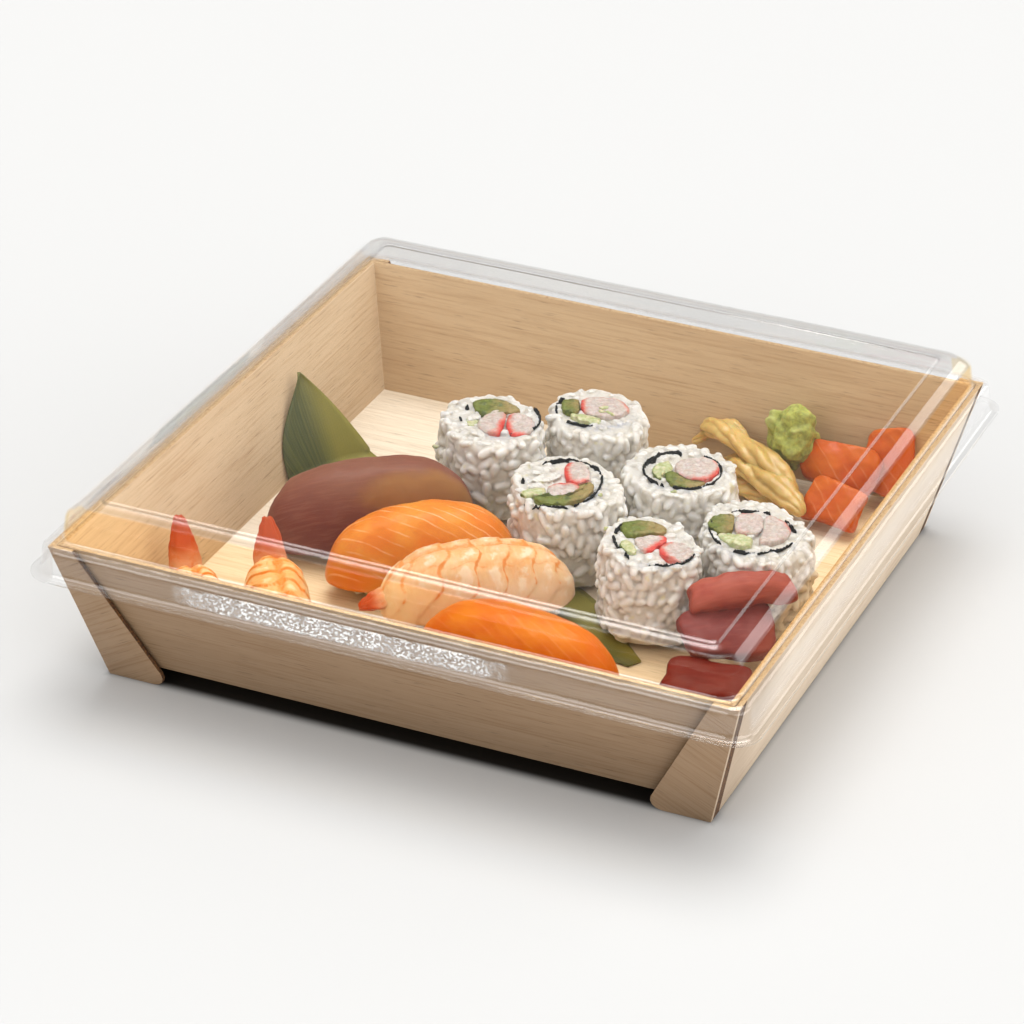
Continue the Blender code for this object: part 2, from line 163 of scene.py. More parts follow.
def make_piece(name, points, faces, mats, uv=None, values=None, sharp=None, face_mats=None):
    """A mesh object from points in millimetres, facing outwards."""
    mesh = bpy.data.meshes.new(name)
    points = np.asarray(points, float).reshape(-1, 3)
    mesh.from_pydata((points * MM).tolist(), [], faces)
    if face_mats is not None:
        mesh.polygons.foreach_set("material_index", face_mats)
    for key, value in (values or {}).items():
        store = mesh.attributes.new(key, "FLOAT", "POINT")
        store.data.foreach_set("value", np.asarray(value, np.float32).ravel())
    if uv is not None:
        corner = np.empty(len(mesh.loops), int)
        mesh.loops.foreach_get("vertex_index", corner)
        layer = mesh.uv_layers.new(name="UVMap")
        layer.data.foreach_set("uv", np.asarray(uv, float).reshape(-1, 2)[corner].ravel())
    form = bmesh.new()
    form.from_mesh(mesh)
    bmesh.ops.recalc_face_normals(form, faces=form.faces)
    form.to_mesh(mesh)
    form.free()
    obj = bpy.data.objects.new(name, mesh)
    bpy.context.scene.collection.objects.link(obj)
    for mat in mats if isinstance(mats, (list, tuple)) else [mats]:
        mesh.materials.append(mat)
    mesh.shade_smooth()
    if sharp is not None:
        mesh.set_sharp_from_angle(angle=math.radians(sharp))
    return obj


def finish_piece(obj, slot, *nodes):
    """Every piece is part of the one body; it stands for its CAD nodes."""
    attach(obj, "root")
    if nodes:
        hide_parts(*nodes)
    return obj


def baked(obj):
    """The object with its modifiers made plain mesh."""
    graph = bpy.context.evaluated_depsgraph_get()
    mesh = bpy.data.meshes.new_from_object(obj.evaluated_get(graph))
    obj.modifiers.clear()
    old = obj.data
    obj.data = mesh
    bpy.data.meshes.remove(old)
    return obj


def wobble(points, size, scale, seed=0.0, detail=2):
    """Smooth noise for each point, as offsets along X, Y and Z in millimetres."""
    out = np.empty((len(points), 3))
    shift = Vector((seed, 7.3 * seed, -3.1 * seed))
    for i, point in enumerate(points):
        place = Vector(point) / scale + shift
        out[i] = noise.turbulence_vector(place, detail, False)
    return out * size


def swell(points, scale, seed=0.0):
    """One smooth noise value for each point, about -1 to 1."""
    shift = Vector((seed, 5.1 * seed, -2.7 * seed))
    return np.array([noise.noise(Vector(point) / scale + shift) for point in points])


def placed(points, x, y, turn, z=0.0, tilt=0.0):
    matrix = (Matrix.Translation((x, y, z)) @ Matrix.Rotation(math.radians(turn), 4, "Z")
              @ Matrix.Rotation(math.radians(tilt), 4, "X"))
    matrix = np.array(matrix)
    return points @ matrix[:3, :3].T + matrix[:3, 3]


def cad_copy(name, new_name):
    """A merged copy of a CAD node, for finer edges."""
    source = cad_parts[name]
    form = bmesh.new()
    form.from_mesh(source.data)
    bmesh.ops.remove_doubles(form, verts=form.verts, dist=0.00001)
    bmesh.ops.dissolve_limit(form, angle_limit=0.01, verts=form.verts, edges=form.edges)
    mesh = bpy.data.meshes.new(new_name)
    form.to_mesh(mesh)
    form.free()
    obj = bpy.data.objects.new(new_name, mesh)
    bpy.context.scene.collection.objects.link(obj)
    return obj


# ------------------------------------------------------------------ tray

# The one veneer takes a colour for each way its faces turn. Besides the veneer's own tone, the darker outside of the
# front and the back is painted shade, and the paler floor and ends are painted light.
class TrayProps(bpy.types.PropertyGroup):
    wood: FloatVectorProperty(name="Wood", description="Colour of the veneer inside", subtype="COLOR",
                              default=(0.565, 0.385, 0.207), min=0, max=1)
    side: FloatVectorProperty(name="Inside ends", description="Colour of the veneer inside the ends", subtype="COLOR",
                              default=(0.66, 0.49, 0.31), min=0, max=1)
    base: FloatVectorProperty(name="Inner floor", description="Colour of the veneer at the bottom", subtype="COLOR",
                              default=(0.85, 0.73, 0.565), min=0, max=1)
    outside: FloatVectorProperty(name="Outside", description="Colour of the veneer at the front and the back",
                                 subtype="COLOR", default=(0.335, 0.218, 0.126), min=0, max=1)
    ends: FloatVectorProperty(name="Ends", description="Colour of the veneer at the ends", subtype="COLOR",
                              default=(0.74, 0.61, 0.47), min=0, max=1)
    edge_round: FloatProperty(name="Edge rounding", description="Rounding of the veneer's edges",
                              default=0.0003, min=0.0001, max=0.001, unit="LENGTH")


def wood_material(name, light, dark, edge=False, worn=False):
    mat, tree, shader = new_material(name, 0.62)
    uv = where(tree, (1, 1, 1), source="UV")
    stretch = node(tree, "Mapping", {"Vector": uv, "Scale": (0.022, 1.0, 1.0)}).outputs[0]
    fine = grain(tree, stretch, 1.25, 4.0, 0.68, 0.25)
    broad = grain(tree, node(tree, "Mapping", {"Vector": uv, "Scale": (0.014, 0.16, 1)}).outputs[0], 1.0, 3.0, 0.5, 1.2)
    pores = grain(tree, node(tree, "Mapping", {"Vector": uv, "Scale": (0.06, 1.0, 1)}).outputs[0], 1.7, 2.0, 0.6)
    lines = step(tree, fine, 0.47, 0.66)
    soft = step(tree, broad, 0.30, 0.75)
    share = maths(tree, "ADD", maths(tree, "MULTIPLY", lines, 0.52), maths(tree, "MULTIPLY", soft, 0.34), True)
    colour = blend(tree, share, light, dark)
    flecks = step(tree, pores, 0.60, 0.72, 0.0, 0.6)
    colour = blend(tree, flecks, colour, tuple(0.55 * c for c in dark))
    if worn:
        # the ends grow darker towards the front corner
        near = step(tree, node(tree, "SeparateXYZ", {0: where(tree)}).outputs[1], -56.0, -94.0, 0.0, 0.8)
        colour = blend(tree, near, colour, (0.42, 0.31, 0.21))
    if edge:
        speck = step(tree, grain(tree, where(tree), 1.1, 3.0, 0.7), 0.45, 0.72)
        colour = blend(tree, speck, (0.55, 0.37, 0.19), (0.30, 0.145, 0.045))
    paint(tree, shader, colour)
    tree.links.new(step(tree, fine, 0.2, 0.8, 0.5, 0.72), shader.inputs["Roughness"])
    bump(tree, shader, maths(tree, "ADD", fine, pores), 0.05, 0.5)
    return mat


def burnt_material():
    """The dark line that scoring and cutting leaves in veneer."""
    mat, tree, shader = new_material("scored_wood", 0.8)
    speck = grain(tree, where(tree), 1.4, 3.0, 0.6)
    paint(tree, shader, blend(tree, step(tree, speck, 0.35, 0.75), (0.035, 0.011, 0.002), (0.19, 0.078, 0.014)))
    bump(tree, shader, speck, 0.12, 0.7)
    return mat


def wood_maps(obj, slant=0.0):
    """UV in metres along and across the grain, and a material for each kind of face."""
    mesh = obj.data
    layer = mesh.uv_layers.new(name="UVMap")
    for face in mesh.polygons:
        n = face.normal
        axis = max(range(3), key=lambda k: abs(n[k]))
        c = face.center * 1000
        size = face.area
        turn = 0.0
        if axis == 1 and abs(c.x) > 70 and slant:
            turn = math.copysign(slant, c.x)
        thin = size < 0.00062 and not (axis == 1 and slant)
        face.material_index = 0
        if axis == 2 and n.z > 0.5 and c.z > RIM_Z - 2:
            face.material_index = 1
        elif thin and c.z < RIM_Z - 2:
            strip = RIM_Y - INSET_Y * (1 - c.z / RIM_Z) - abs(c.y)
            outer = axis == 0 and n.x * c.x > 0 and 0 < strip < SCORE[0]
            face.material_index = 4 if outer else 2
        elif axis == 1 and n.y * c.y > 0:
            face.material_index = 3
        elif axis == 0 and n.x * c.x > 0 and abs(c.x) > 95:
            face.material_index = 4
        elif axis == 2 and n.z > 0.5:
            face.material_index = 5
        elif axis == 0:
            face.material_index = 6
        for corner in face.loop_indices:
            p = mesh.vertices[mesh.loops[corner].vertex_index].co
            u, v = ((p.y, p.z), (p.x, p.z), (p.x, p.y))[axis]
            off = 0.31 * axis + (0.17 if n[axis] > 0 else 0.0)
            cu = u * math.cos(turn) - v * math.sin(turn)
            cv = u * math.sin(turn) + v * math.cos(turn)
            layer.data[corner].uv = (cu + off, cv + off)


# the scored line down each corner, from and to, as distances from the corner
SCORE = (1.5, 6.3)


def score_corners(obj):
    """Cuts the outer face of an end panel along both edges of each scored line."""
    form = bmesh.new()
    form.from_mesh(obj.data)
    for end in (-1, 1):
        for gap in SCORE:
            place = Vector((0, end * (RIM_Y - INSET_Y - gap), 0)) * MM
            across = Vector((0, RIM_Z, -end * INSET_Y)).normalized()
            outer = [f for f in form.faces if abs(f.normal.x) > 0.9 and f.normal.x * f.calc_center_median().x > 0
                     and abs(f.calc_center_median().x) > 0.095]
            geometry = outer + list({e for f in outer for e in f.edges}) + list({v for f in outer for v in f.verts})
            bmesh.ops.bisect_plane(form, geom=geometry, plane_co=place, plane_no=across)
    form.to_mesh(obj.data)
    form.free()


def build_tray(props):
    def toned(name, colour, **more):
        return wood_material(name, colour, (colour[0] * 0.74, colour[1] * 0.66, colour[2] * 0.56), **more)

    # these colours per kind of face carry painted light and shade as well as the veneer's tone: the outside of the
    # front and the back darker, the floor and the ends paler
    face = toned("veneer_inside", tuple(props.wood))
    rim = toned("veneer_rim", tuple(props.wood), edge=True)
    front = toned("veneer_outside", tuple(props.outside))
    ends = toned("veneer_ends", tuple(props.ends), worn=True)
    base = toned("veneer_base", tuple(props.base))
    inner_ends = toned("veneer_inside_ends", tuple(props.side))
    burnt = burnt_material()
    for name in ("tray_blank", "end_panel_left", "end_panel_right"):
        obj = cad_copy(name, "wood_" + name)
        if name != "tray_blank":
            score_corners(obj)
        obj.data.materials.clear()
        for mat in (face, rim, burnt, front, ends, base, inner_ends):
            obj.data.materials.append(mat)
        wood_maps(obj, 0.0 if name == "tray_blank" else math.radians(32))
        soft = obj.modifiers.new("Rounded edges", "BEVEL")
        soft.width = props.edge_round
        soft.segments = 2
        soft.limit_method = "ANGLE"
        soft.angle_limit = math.radians(35)
        soft.harden_normals = True
        baked(obj)
        obj.data.shade_smooth()
        obj.data.set_sharp_from_angle(angle=math.radians(50))
        finish_piece(obj, "wood", name)


# ------------------------------------------------------------------ lid

class LidProps(bpy.types.PropertyGroup):
    thickness: FloatProperty(name="Thickness", description="Thickness of the clear sheet",
                             default=0.0005, min=0.0002, max=0.001, unit="LENGTH")
    tint: FloatVectorProperty(name="Tint", description="What the clear sheet lets through", subtype="COLOR",
                              default=(0.985, 0.985, 0.985), min=0, max=1)


# inset from the rim, height over the rim, corner radius
LID_PROFILE = (
    (13.6, 12.4, 2.0), (12.2, 12.35, 2.2), (11.9, 12.0, 2.4), (11.5, 11.75, 2.6), (8.0, 11.72, 4.2),
    (6.5, 11.68, 5.0), (5.8, 11.4, 5.5), (4.2, 10.2, 5.9), (3.0, 9.2, 6.1), (2.65, 8.2, 6.2), (2.3, 4.6, 6.2),
    (2.1, 1.9, 6.2), (1.7, 1.2, 6.1), (0.8, 0.95, 5.8), (-0.8, 0.9, 5.3), (-1.6, 0.65, 5.3), (-2.2, 0.1, 5.4),
    (-2.5, -0.9, 5.6), (-2.75, -3.0, 5.9), (-3.1, -6.2, 6.3), (-3.35, -7.7, 6.7), (-3.9, -8.3, 7.2),
    (-5.4, -8.5, 8.4), (-6.2, -8.45, 9.0),
)
LID_ARC = 12
LID_SIDE = 100


def lid_loop(inset, rise, radius):
    """One loop round the lid, with its corners and points along its sides."""
    half_x, half_y = RIM_X - inset, RIM_Y - inset
    loop = []
    for corner, (sx, sy) in enumerate(((1, 1), (-1, 1), (-1, -1), (1, -1))):
        cx, cy = sx * (half_x - radius), sy * (half_y - radius)
        for i in range(LID_ARC + 1):
            angle = math.pi / 2 * (corner + i / LID_ARC)
            loop.append((cx + radius * math.cos(angle), cy + radius * math.sin(angle), RIM_Z + rise))
        nx, ny = ((-1, 1), (-1, -1), (1, -1), (1, 1))[corner]
        end = np.array(loop[-1])
        angle = math.pi / 2 * (corner + 1)
        begin = np.array((nx * (half_x - radius) + radius * math.cos(angle),
                          ny * (half_y - radius) + radius * math.sin(angle), RIM_Z + rise))
        for i in range(1, LID_SIDE):
            loop.append(tuple(end + (begin - end) * i / LID_SIDE))
    return loop


def clear_material(name, tint, rough=0.04, stipple=False, haze=0.0, shine_share=1.0):
    """Clear sheet: light goes straight through, and the surface shines by angle."""
    mat = bpy.data.materials.new(name)
    mat.use_nodes = True
    tree = mat.node_tree
    tree.nodes.clear()
    out = node(tree, "OutputMaterial")
    through = node(tree, "BsdfTransparent", {"Color": rgba(tint)})
    shine = node(tree, "BsdfGlossy", {"Color": (1, 1, 1, 1), "Roughness": rough})
    facing = node(tree, "LayerWeight", {"Blend": 0.5})
    relief = grain(tree, where(tree), 0.35 if not stipple else 0.9, 3.0, 0.6)
    ripples = node(tree, "Bump", {"Height": relief, "Distance": (0.15 if stipple else 0.05) * MM, "Strength": 1.0})
    tree.links.new(ripples.outputs[0], shine.inputs["Normal"])
    tree.links.new(ripples.outputs[0], facing.inputs["Normal"])
    # the same on both faces of the sheet: 4% head on, all at a grazing angle
    slant = maths(tree, "POWER", facing.outputs["Facing"], 5.0)
    share = maths(tree, "ADD", maths(tree, "MULTIPLY", slant, 0.96 * shine_share), 0.04 * shine_share, True)
    mixed = node(tree, "MixShader", {0: share, 1: through.outputs[0], 2: shine.outputs[0]})
    last = mixed.outputs[0]
    if stipple:
        # painted glints: pale diffuse specks on the bumps stand in for light glinting off them, over a faint frosted
        # haze of the sheet's own; nothing at all outside the ragged patch
        rise = attribute(tree, "rise")
        specks = step(tree, grain(tree, where(tree, (1, 0.2, 1.3)), 0.95, 2.0, 0.6), 0.50, 0.57)
        share = maths(tree, "MULTIPLY", rise, maths(tree, "ADD", maths(tree, "MULTIPLY", specks, 0.80), haze))
        cloud = node(tree, "BsdfDiffuse", {"Color": (1, 1, 1, 1)})
        last = node(tree, "MixShader", {0: share, 1: last, 2: cloud.outputs[0]}).outputs[0]
        bare = node(tree, "BsdfTransparent", {"Color": (1, 1, 1, 1)})
        last = node(tree, "MixShader", {0: step(tree, rise, 0.05, 0.4), 1: bare.outputs[0], 2: last}).outputs[0]
    elif haze:
        milky = node(tree, "BsdfTranslucent", {"Color": (1, 1, 1, 1)})
        last = node(tree, "MixShader", {0: haze, 1: last, 2: milky.outputs[0]}).outputs[0]
    tree.links.new(last, out.inputs["Surface"])
    return mat


def stipple_patch(mat):
    """The pressed stipple on the outside of the front skirt, a field of little bumps."""
    length, tall, cell = 118.0, 6.4, 0.42
    columns, rows = int(length / cell), int(tall / cell)
    grid = np.stack(np.meshgrid(np.linspace(0, 1, columns), np.linspace(0, 1, rows)), -1).reshape(-1, 2)
    along, up = grid[:, 0], grid[:, 1]
    x = -72.0 + length * along
    z = RIM_Z - 0.8 - tall * up
    spots = np.column_stack([x, z, np.zeros(len(x))])
    ragged = 0.5 + 0.5 * swell(spots, 5.0, 2.0) + 0.25 * swell(spots, 1.8, 6.0)
    reach = np.clip(4 * along, 0, 1) * np.clip(5 * (1 - along), 0, 1) * np.clip(9 * up * (1 - up), 0, 1)
    rise = np.clip(ragged * 1.5 * reach, 0, 1)
    bumps = 0.5 + 0.5 * swell(spots, 0.62, 11.0) + 0.3 * swell(spots, 0.30, 13.0)
    skirt = np.interp(z - RIM_Z, (-7.7, -6.2, -3.0, -0.9, 0.1), (3.35, 3.1, 2.75, 2.5, 2.2))
    y = -(RIM_Y + skirt + 0.12 + 0.62 * bumps * rise)
    patch = make_piece("lid_stipple", np.column_stack([x, y, z]), grid_faces(rows, columns), mat, values={"rise": rise})
    back = patch.modifiers.new("Back", "SOLIDIFY")
    back.thickness = 0.1 * MM
    back.offset = -1.0
    return baked(patch)


def build_lid(props):
    loops = [lid_loop(*row) for row in LID_PROFILE]
    points = np.array(loops)
    count = points.shape[1]
    flat = points.reshape(-1, 3).copy()
    waves = (swell(flat, 40.0, 3.0) - 1.0) * 0.22
    flat[:, 2] += np.where(flat[:, 2] > RIM_Z + 8, waves, 0.4 * waves)
    # the flange and the skirt are a little uneven, so their shine breaks up
    low = np.clip((RIM_Z + 3 - flat[:, 2]) / 2, 0, 1) * np.clip((flat[:, 2] - RIM_Z + 7.5) / 2, 0, 1)
    flat -= (np.abs(wobble(flat, 0.22, 6.0, 5.0)) * np.sign(flat)) * low[:, None]
    faces = grid_faces(len(loops), count, wrap=True)
    # the plateau is one flat sheet inside the first loop
    faces.append(list(range(count - 1, -1, -1)))
    kinds = []
    middle = flat.reshape(points.shape)
    for row in range(len(loops) - 1):
        for column in range(count):
            spot = middle[row, column]
            kind = 0
            if row in (1, 2):
                kind = 1
            if row in (8, 9, 10) and spot[0] > RIM_X - 9 or 5 <= row <= 10 and spot[1] < 9 - RIM_Y:
                kind = 3
            elif row >= 13 and (spot[0] < 3 - RIM_X or spot[1] > RIM_Y - 3):
                kind = 4
            kinds.append(kind)
    kinds.append(0)
    tint = tuple(props.tint)
    mats = [clear_material("clear_sheet", tint), clear_material("clear_step", tuple(0.86 * c for c in tint), 0.12),
            clear_material("stippled_sheet", tint, 0.10, stipple=True, haze=0.04, shine_share=4.0),
            clear_material("clear_wall", tuple(np.array(tint) * (1.0, 0.94, 0.83)), 0.03, shine_share=0.1),
            clear_material("clear_hem", tint, 0.10, haze=0.12, shine_share=0.3)]
    lid = make_piece("lid_shell", flat, faces, mats, sharp=60, face_mats=kinds)
    wall = lid.modifiers.new("Wall", "SOLIDIFY")
    wall.thickness = props.thickness
    wall.offset = 0.0
    baked(lid)
    patch = stipple_patch(mats[2])
    join([lid, patch])
    finish_piece(lid, "clear_plastic", "lid")


# ------------------------------------------------------------------ leaf

class LeafProps(bpy.types.PropertyGroup):
    green: FloatVectorProperty(name="Green", description="Colour of the leaf", subtype="COLOR",
                               default=(0.048, 0.062, 0.013), min=0, max=1)


def build_leaf(props):
    mat, tree, shader = new_material("bamboo_leaf", 0.45, Subsurface_Weight=0.0)
    uv = where(tree, source="UV")
    veins = node(tree, "TexWave", {"Vector": uv, "Scale": 0.36, "Distortion": 0.6, "Detail": 1.0},
                 bands_direction="Y", wave_profile="SIN")
    streak = grain(tree, node(tree, "Mapping", {"Vector": uv, "Scale": (0.02, 1.0, 1.0)}).outputs[0], 1.3, 3.0, 0.6)
    green = tuple(props.green)
    pale = (green[0] * 2.3, green[1] * 1.9, green[2] * 1.9)
    colour = blend(tree, step(tree, streak, 0.3, 0.75), green, pale)
    colour = blend(tree, maths(tree, "MULTIPLY", veins.outputs["Fac"], 0.22), colour, tuple(1.5 * c for c in pale))
    side = node(tree, "SeparateXYZ", {0: uv}).outputs[1]
    colour = blend(tree, step(tree, side, -4.0, 6.0), colour, (0.27, 0.24, 0.035))
    paint(tree, shader, colour)
    bump(tree, shader, veins.outputs["Fac"], 0.10, 0.5)

    lying = 8.8
    tip, knee, end = np.array((-101, 39, 40.0)), np.array((-87.5, 36, lying)), np.array((50.0, -38.0, lying))
    along = (end - knee) / np.linalg.norm(end - knee)
    across = np.array((-along[1], along[0], 0))
    rows, uvs = [], []
    wide = 13
    travel = 0.0
    last = tip
    stations = [(tip + (knee - tip) * t + np.array((0, 0, 1.2 * math.sin(math.pi * t))), 17 * t ** 0.9 + 0.05)
                for t in np.linspace(0.0, 0.97, 18)]
    for t in np.linspace(0.03, 1.0, 22):
        narrow = 1 - 0.1 * t - 0.75 * max(0.0, t - 0.75) / 0.25
        stations.append((knee + (end - knee) * t, 17 * narrow))
    for spot, half in stations:
        travel += float(np.linalg.norm(spot - last))
        last = spot
        for k in np.linspace(-1, 1, wide):
            lift = 0.5 * abs(k) if spot[2] < 10 else 1.6 * k * k
            side = spot + across * half * k * (1.0 + 0.42 * math.sin(math.pi * min(1.0, half / 17)) * (spot[2] > 10 and k < 0))
            off = np.array((0.6 * lift, 0, 0.0)) if spot[2] > 10 else np.zeros(3)
            rows.append(side + off)
            uvs.append((travel * MM, half * k * MM))
    leaf = make_piece("leaf_blade", rows, grid_faces(len(stations), wide), mat, uv=uvs)
    body = leaf.modifiers.new("Thickness", "SOLIDIFY")
    body.thickness = 0.5 * MM
    body.offset = 0.0
    baked(leaf)
    finish_piece(leaf, "leaf", "leaf")


# ------------------------------------------------------------------ rice

class RiceProps(bpy.types.PropertyGroup):
    grain_length: FloatProperty(name="Grain length", description="Length of a grain of cooked rice",
                                default=0.0052, min=0.002, max=0.009, unit="LENGTH")
    grain_width: FloatProperty(name="Grain width", description="Width of a grain of cooked rice",
                               default=0.0029, min=0.001, max=0.005, unit="LENGTH")
    spacing: FloatProperty(name="Spacing", description="Least distance between the middles of two grains",
                           default=0.0025, min=0.001, max=0.006, unit="LENGTH")
    sticky: FloatProperty(name="Stickiness", description="Size of the cells that merge the grains where they touch",
                          default=0.00039, min=0.0002, max=0.001, unit="LENGTH")
    hidden: FloatProperty(name="Stickiness under the fish", description="Size of the cells for the pads, which hardly show",
                          default=0.00062, min=0.0002, max=0.002, unit="LENGTH")
    seed: IntProperty(name="Seed", description="Number that sets where the grains lie", default=7, min=0)


def rice_material():
    mat, tree, shader = new_material("cooked_rice", 0.42, Subsurface_Weight=0.45, Subsurface_Scale=0.0020)
    shader.inputs["Subsurface Radius"].default_value = (1.0, 0.85, 0.62)
    shader.inputs["Specular IOR Level"].default_value = 0.35
    base = where(tree)
    cloud = grain(tree, base, 0.14, 3.0, 0.55)
    small = grain(tree, base, 0.8, 3.0, 0.6)
    colour = blend(tree, step(tree, cloud, 0.35, 0.7), (0.68, 0.645, 0.59), (0.64, 0.595, 0.51))
    colour = blend(tree, step(tree, small, 0.42, 0.66, 0.0, 0.5), colour, (0.72, 0.70, 0.66))
    relief = attribute(tree, "relief")
    # painted light and shade: the rice is paler on the crests and darker down in the gaps between the grains, where
    # shade falls
    colour = blend(tree, step(tree, relief, -0.05, -0.8, 0.0, 0.8), colour, (0.80, 0.785, 0.75))
    colour = blend(tree, step(tree, relief, 0.10, 1.0, 0.0, 0.65), colour, (0.40, 0.36, 0.30))
    flecks = grain(tree, base, 0.33, 1.0, 0.4)
    colour = blend(tree, step(tree, flecks, 0.70, 0.76, 0.0, 0.35), colour, (0.72, 0.66, 0.25))
    stain = maths(tree, "MULTIPLY", attribute(tree, "stain"), step(tree, small, 0.35, 0.6), True)
    colour = blend(tree, stain, colour, (0.42, 0.43, 0.47))
    bent = node(tree, "VectorMath", {0: base, 1: node(tree, "TexNoise", {"Vector": base, "Scale": 0.5}).outputs["Color"]},
                operation="ADD").outputs[0]
    squashed = node(tree, "Mapping", {"Vector": bent, "Scale": (1.0, 1.5, 1.0)}).outputs[0]
    cells = node(tree, "TexVoronoi", {"Vector": squashed, "Scale": 0.36}, feature="DISTANCE_TO_EDGE")
    tones = node(tree, "TexVoronoi", {"Vector": squashed, "Scale": 0.36}).outputs["Color"]
    flat = attribute(tree, "flat")
    # painted shade: on the flat top the lines between the grains' cells are darker, and the bump sinks them too
    gaps = maths(tree, "MULTIPLY", step(tree, cells.outputs["Distance"], 0.10, 0.0), flat)
    each = maths(tree, "MULTIPLY", node(tree, "SeparateXYZ", {0: tones}).outputs[0], flat)
    colour = blend(tree, maths(tree, "MULTIPLY", each, 0.4), colour, (0.50, 0.46, 0.39))
    colour = blend(tree, maths(tree, "MULTIPLY", gaps, 0.4), colour, (0.36, 0.33, 0.28))
    paint(tree, shader, colour)
    height = maths(tree, "SUBTRACT", grain(tree, base, 2.2, 2.0, 0.5), maths(tree, "MULTIPLY", gaps, 1.5))
    bump(tree, shader, height, 0.12, 0.5)
    return mat


def rice_grain(props):
    """One plump grain, lying along X, a little bent."""
    around, along = 8, 7
    half_long, half_wide = props.grain_length * 500, props.grain_width * 500
    points = [(-half_long, 0, 0)]
    for i in range(1, along):
        t = math.pi * i / along
        for j in range(around):
            a = TURN * j / around
            r = half_wide * math.sin(t) ** 0.75 * (1 + 0.06 * math.cos(t))
            points.append((-half_long * math.cos(t), r * math.cos(a), 0.86 * r * math.sin(a) + 0.18 * math.cos(t) ** 2))
    points.append((half_long, 0, 0))
    last = len(points) - 1
    faces = []
    for j in range(around):
        k = (j + 1) % around
        faces.append((0, 1 + k, 1 + j))
        faces.append((last, last - around + j, last - around + k))
        for i in range(along - 2):
            a = 1 + i * around
            faces.append((a + j, a + k, a + around + k, a + around + j))
    return make_piece("rice_grain_shape", points, faces, rice_mat())


_made = {}


def rice_mat():
    if "rice" not in _made:
        _made["rice"] = rice_material()
    return _made["rice"]


def geo(tree, kind, inputs=None, **settings):
    made = tree.nodes.new(kind)
    for key, value in settings.items():
        setattr(made, key, value)
    for key, value in (inputs or {}).items():
        socket = made.inputs[key]
        if isinstance(value, bpy.types.NodeSocket):
            tree.links.new(value, socket)
        else:
            socket.default_value = value
    return made


def rice_tree():
    """Grains over a core: scattered, turned along the surface, sunk in a little and joined to it."""
    if "rice_tree" in _made:
        return _made["rice_tree"]
    tree = bpy.data.node_groups.new("rice_grains", "GeometryNodeTree")
    for name, kind in (("Geometry", "Geometry"), ("Grain", "Object"), ("Spacing", "Float"), ("Sink least", "Float"),
                       ("Sink most", "Float"), ("Tilt", "Float"), ("Seed", "Int"), ("Material", "Material")):
        tree.interface.new_socket(name=name, in_out="INPUT", socket_type="NodeSocket" + kind)
    tree.interface.new_socket(name="Geometry", in_out="OUTPUT", socket_type="NodeSocketGeometry")
    start = tree.nodes.new("NodeGroupInput").outputs
    end = tree.nodes.new("NodeGroupOutput")
    thick = geo(tree, "GeometryNodeInputNamedAttribute", {"Name": "grains"}, data_type="FLOAT")
    scatter = geo(tree, "GeometryNodeDistributePointsOnFaces", {
        "Mesh": start["Geometry"], "Distance Min": start["Spacing"], "Density Max": 400000.0,
        "Density Factor": thick.outputs["Attribute"], "Seed": start["Seed"]}, distribute_method="POISSON")
    spin = geo(tree, "FunctionNodeRandomValue", {"Min": (-1.0, -1.0, 0.0), "Max": (1.0, 1.0, 1.0),
                                                 "Seed": start["Seed"]}, data_type="FLOAT_VECTOR")
    parts = geo(tree, "ShaderNodeSeparateXYZ", {0: spin.outputs[0]})
    tilt_x = geo(tree, "ShaderNodeMath", {0: parts.outputs[0], 1: start["Tilt"]}, operation="MULTIPLY")
    tilt_y = geo(tree, "ShaderNodeMath", {0: parts.outputs[1], 1: start["Tilt"]}, operation="MULTIPLY")
    round_z = geo(tree, "ShaderNodeMath", {0: parts.outputs[2], 1: TURN}, operation="MULTIPLY")
    angles = geo(tree, "ShaderNodeCombineXYZ", {0: tilt_x.outputs[0], 1: tilt_y.outputs[0], 2: round_z.outputs[0]})
    local = geo(tree, "FunctionNodeEulerToRotation", {0: angles.outputs[0]})
    turned = geo(tree, "FunctionNodeRotateRotation", {
        "Rotation": scatter.outputs["Rotation"], "Rotate By": local.outputs[0]}, rotation_space="LOCAL")
    size = geo(tree, "FunctionNodeRandomValue", {2: 0.75, 3: 1.15, "Seed": start["Seed"]}, data_type="FLOAT")
    shape = geo(tree, "GeometryNodeObjectInfo", {"Object": start["Grain"]})
    grains = geo(tree, "GeometryNodeInstanceOnPoints", {
        "Points": scatter.outputs["Points"], "Instance": shape.outputs["Geometry"],
        "Rotation": turned.outputs[0], "Scale": size.outputs[1]})
    sink = geo(tree, "FunctionNodeRandomValue", {2: start["Sink least"], 3: start["Sink most"],
                                                 "Seed": start["Seed"]}, data_type="FLOAT")
    along = geo(tree, "FunctionNodeRotateVector", {"Vector": (0.0, 0.0, 1.0), "Rotation": scatter.outputs["Rotation"]})
    down = geo(tree, "ShaderNodeVectorMath", {0: along.outputs[0], "Scale": sink.outputs[1]}, operation="SCALE")
    sunk = geo(tree, "GeometryNodeTranslateInstances", {
        "Instances": grains.outputs[0], "Translation": down.outputs[0], "Local Space": False})
    real = geo(tree, "GeometryNodeRealizeInstances", {"Geometry": sunk.outputs[0]})
    joined = geo(tree, "GeometryNodeJoinGeometry")
    tree.links.new(real.outputs[0], joined.inputs[0])
    tree.links.new(start["Geometry"], joined.inputs[0])
    dressed = geo(tree, "GeometryNodeSetMaterial", {"Geometry": joined.outputs[0], "Material": start["Material"]})
    tree.links.new(dressed.outputs[0], end.inputs[0])
    _made["rice_tree"] = tree
    return tree


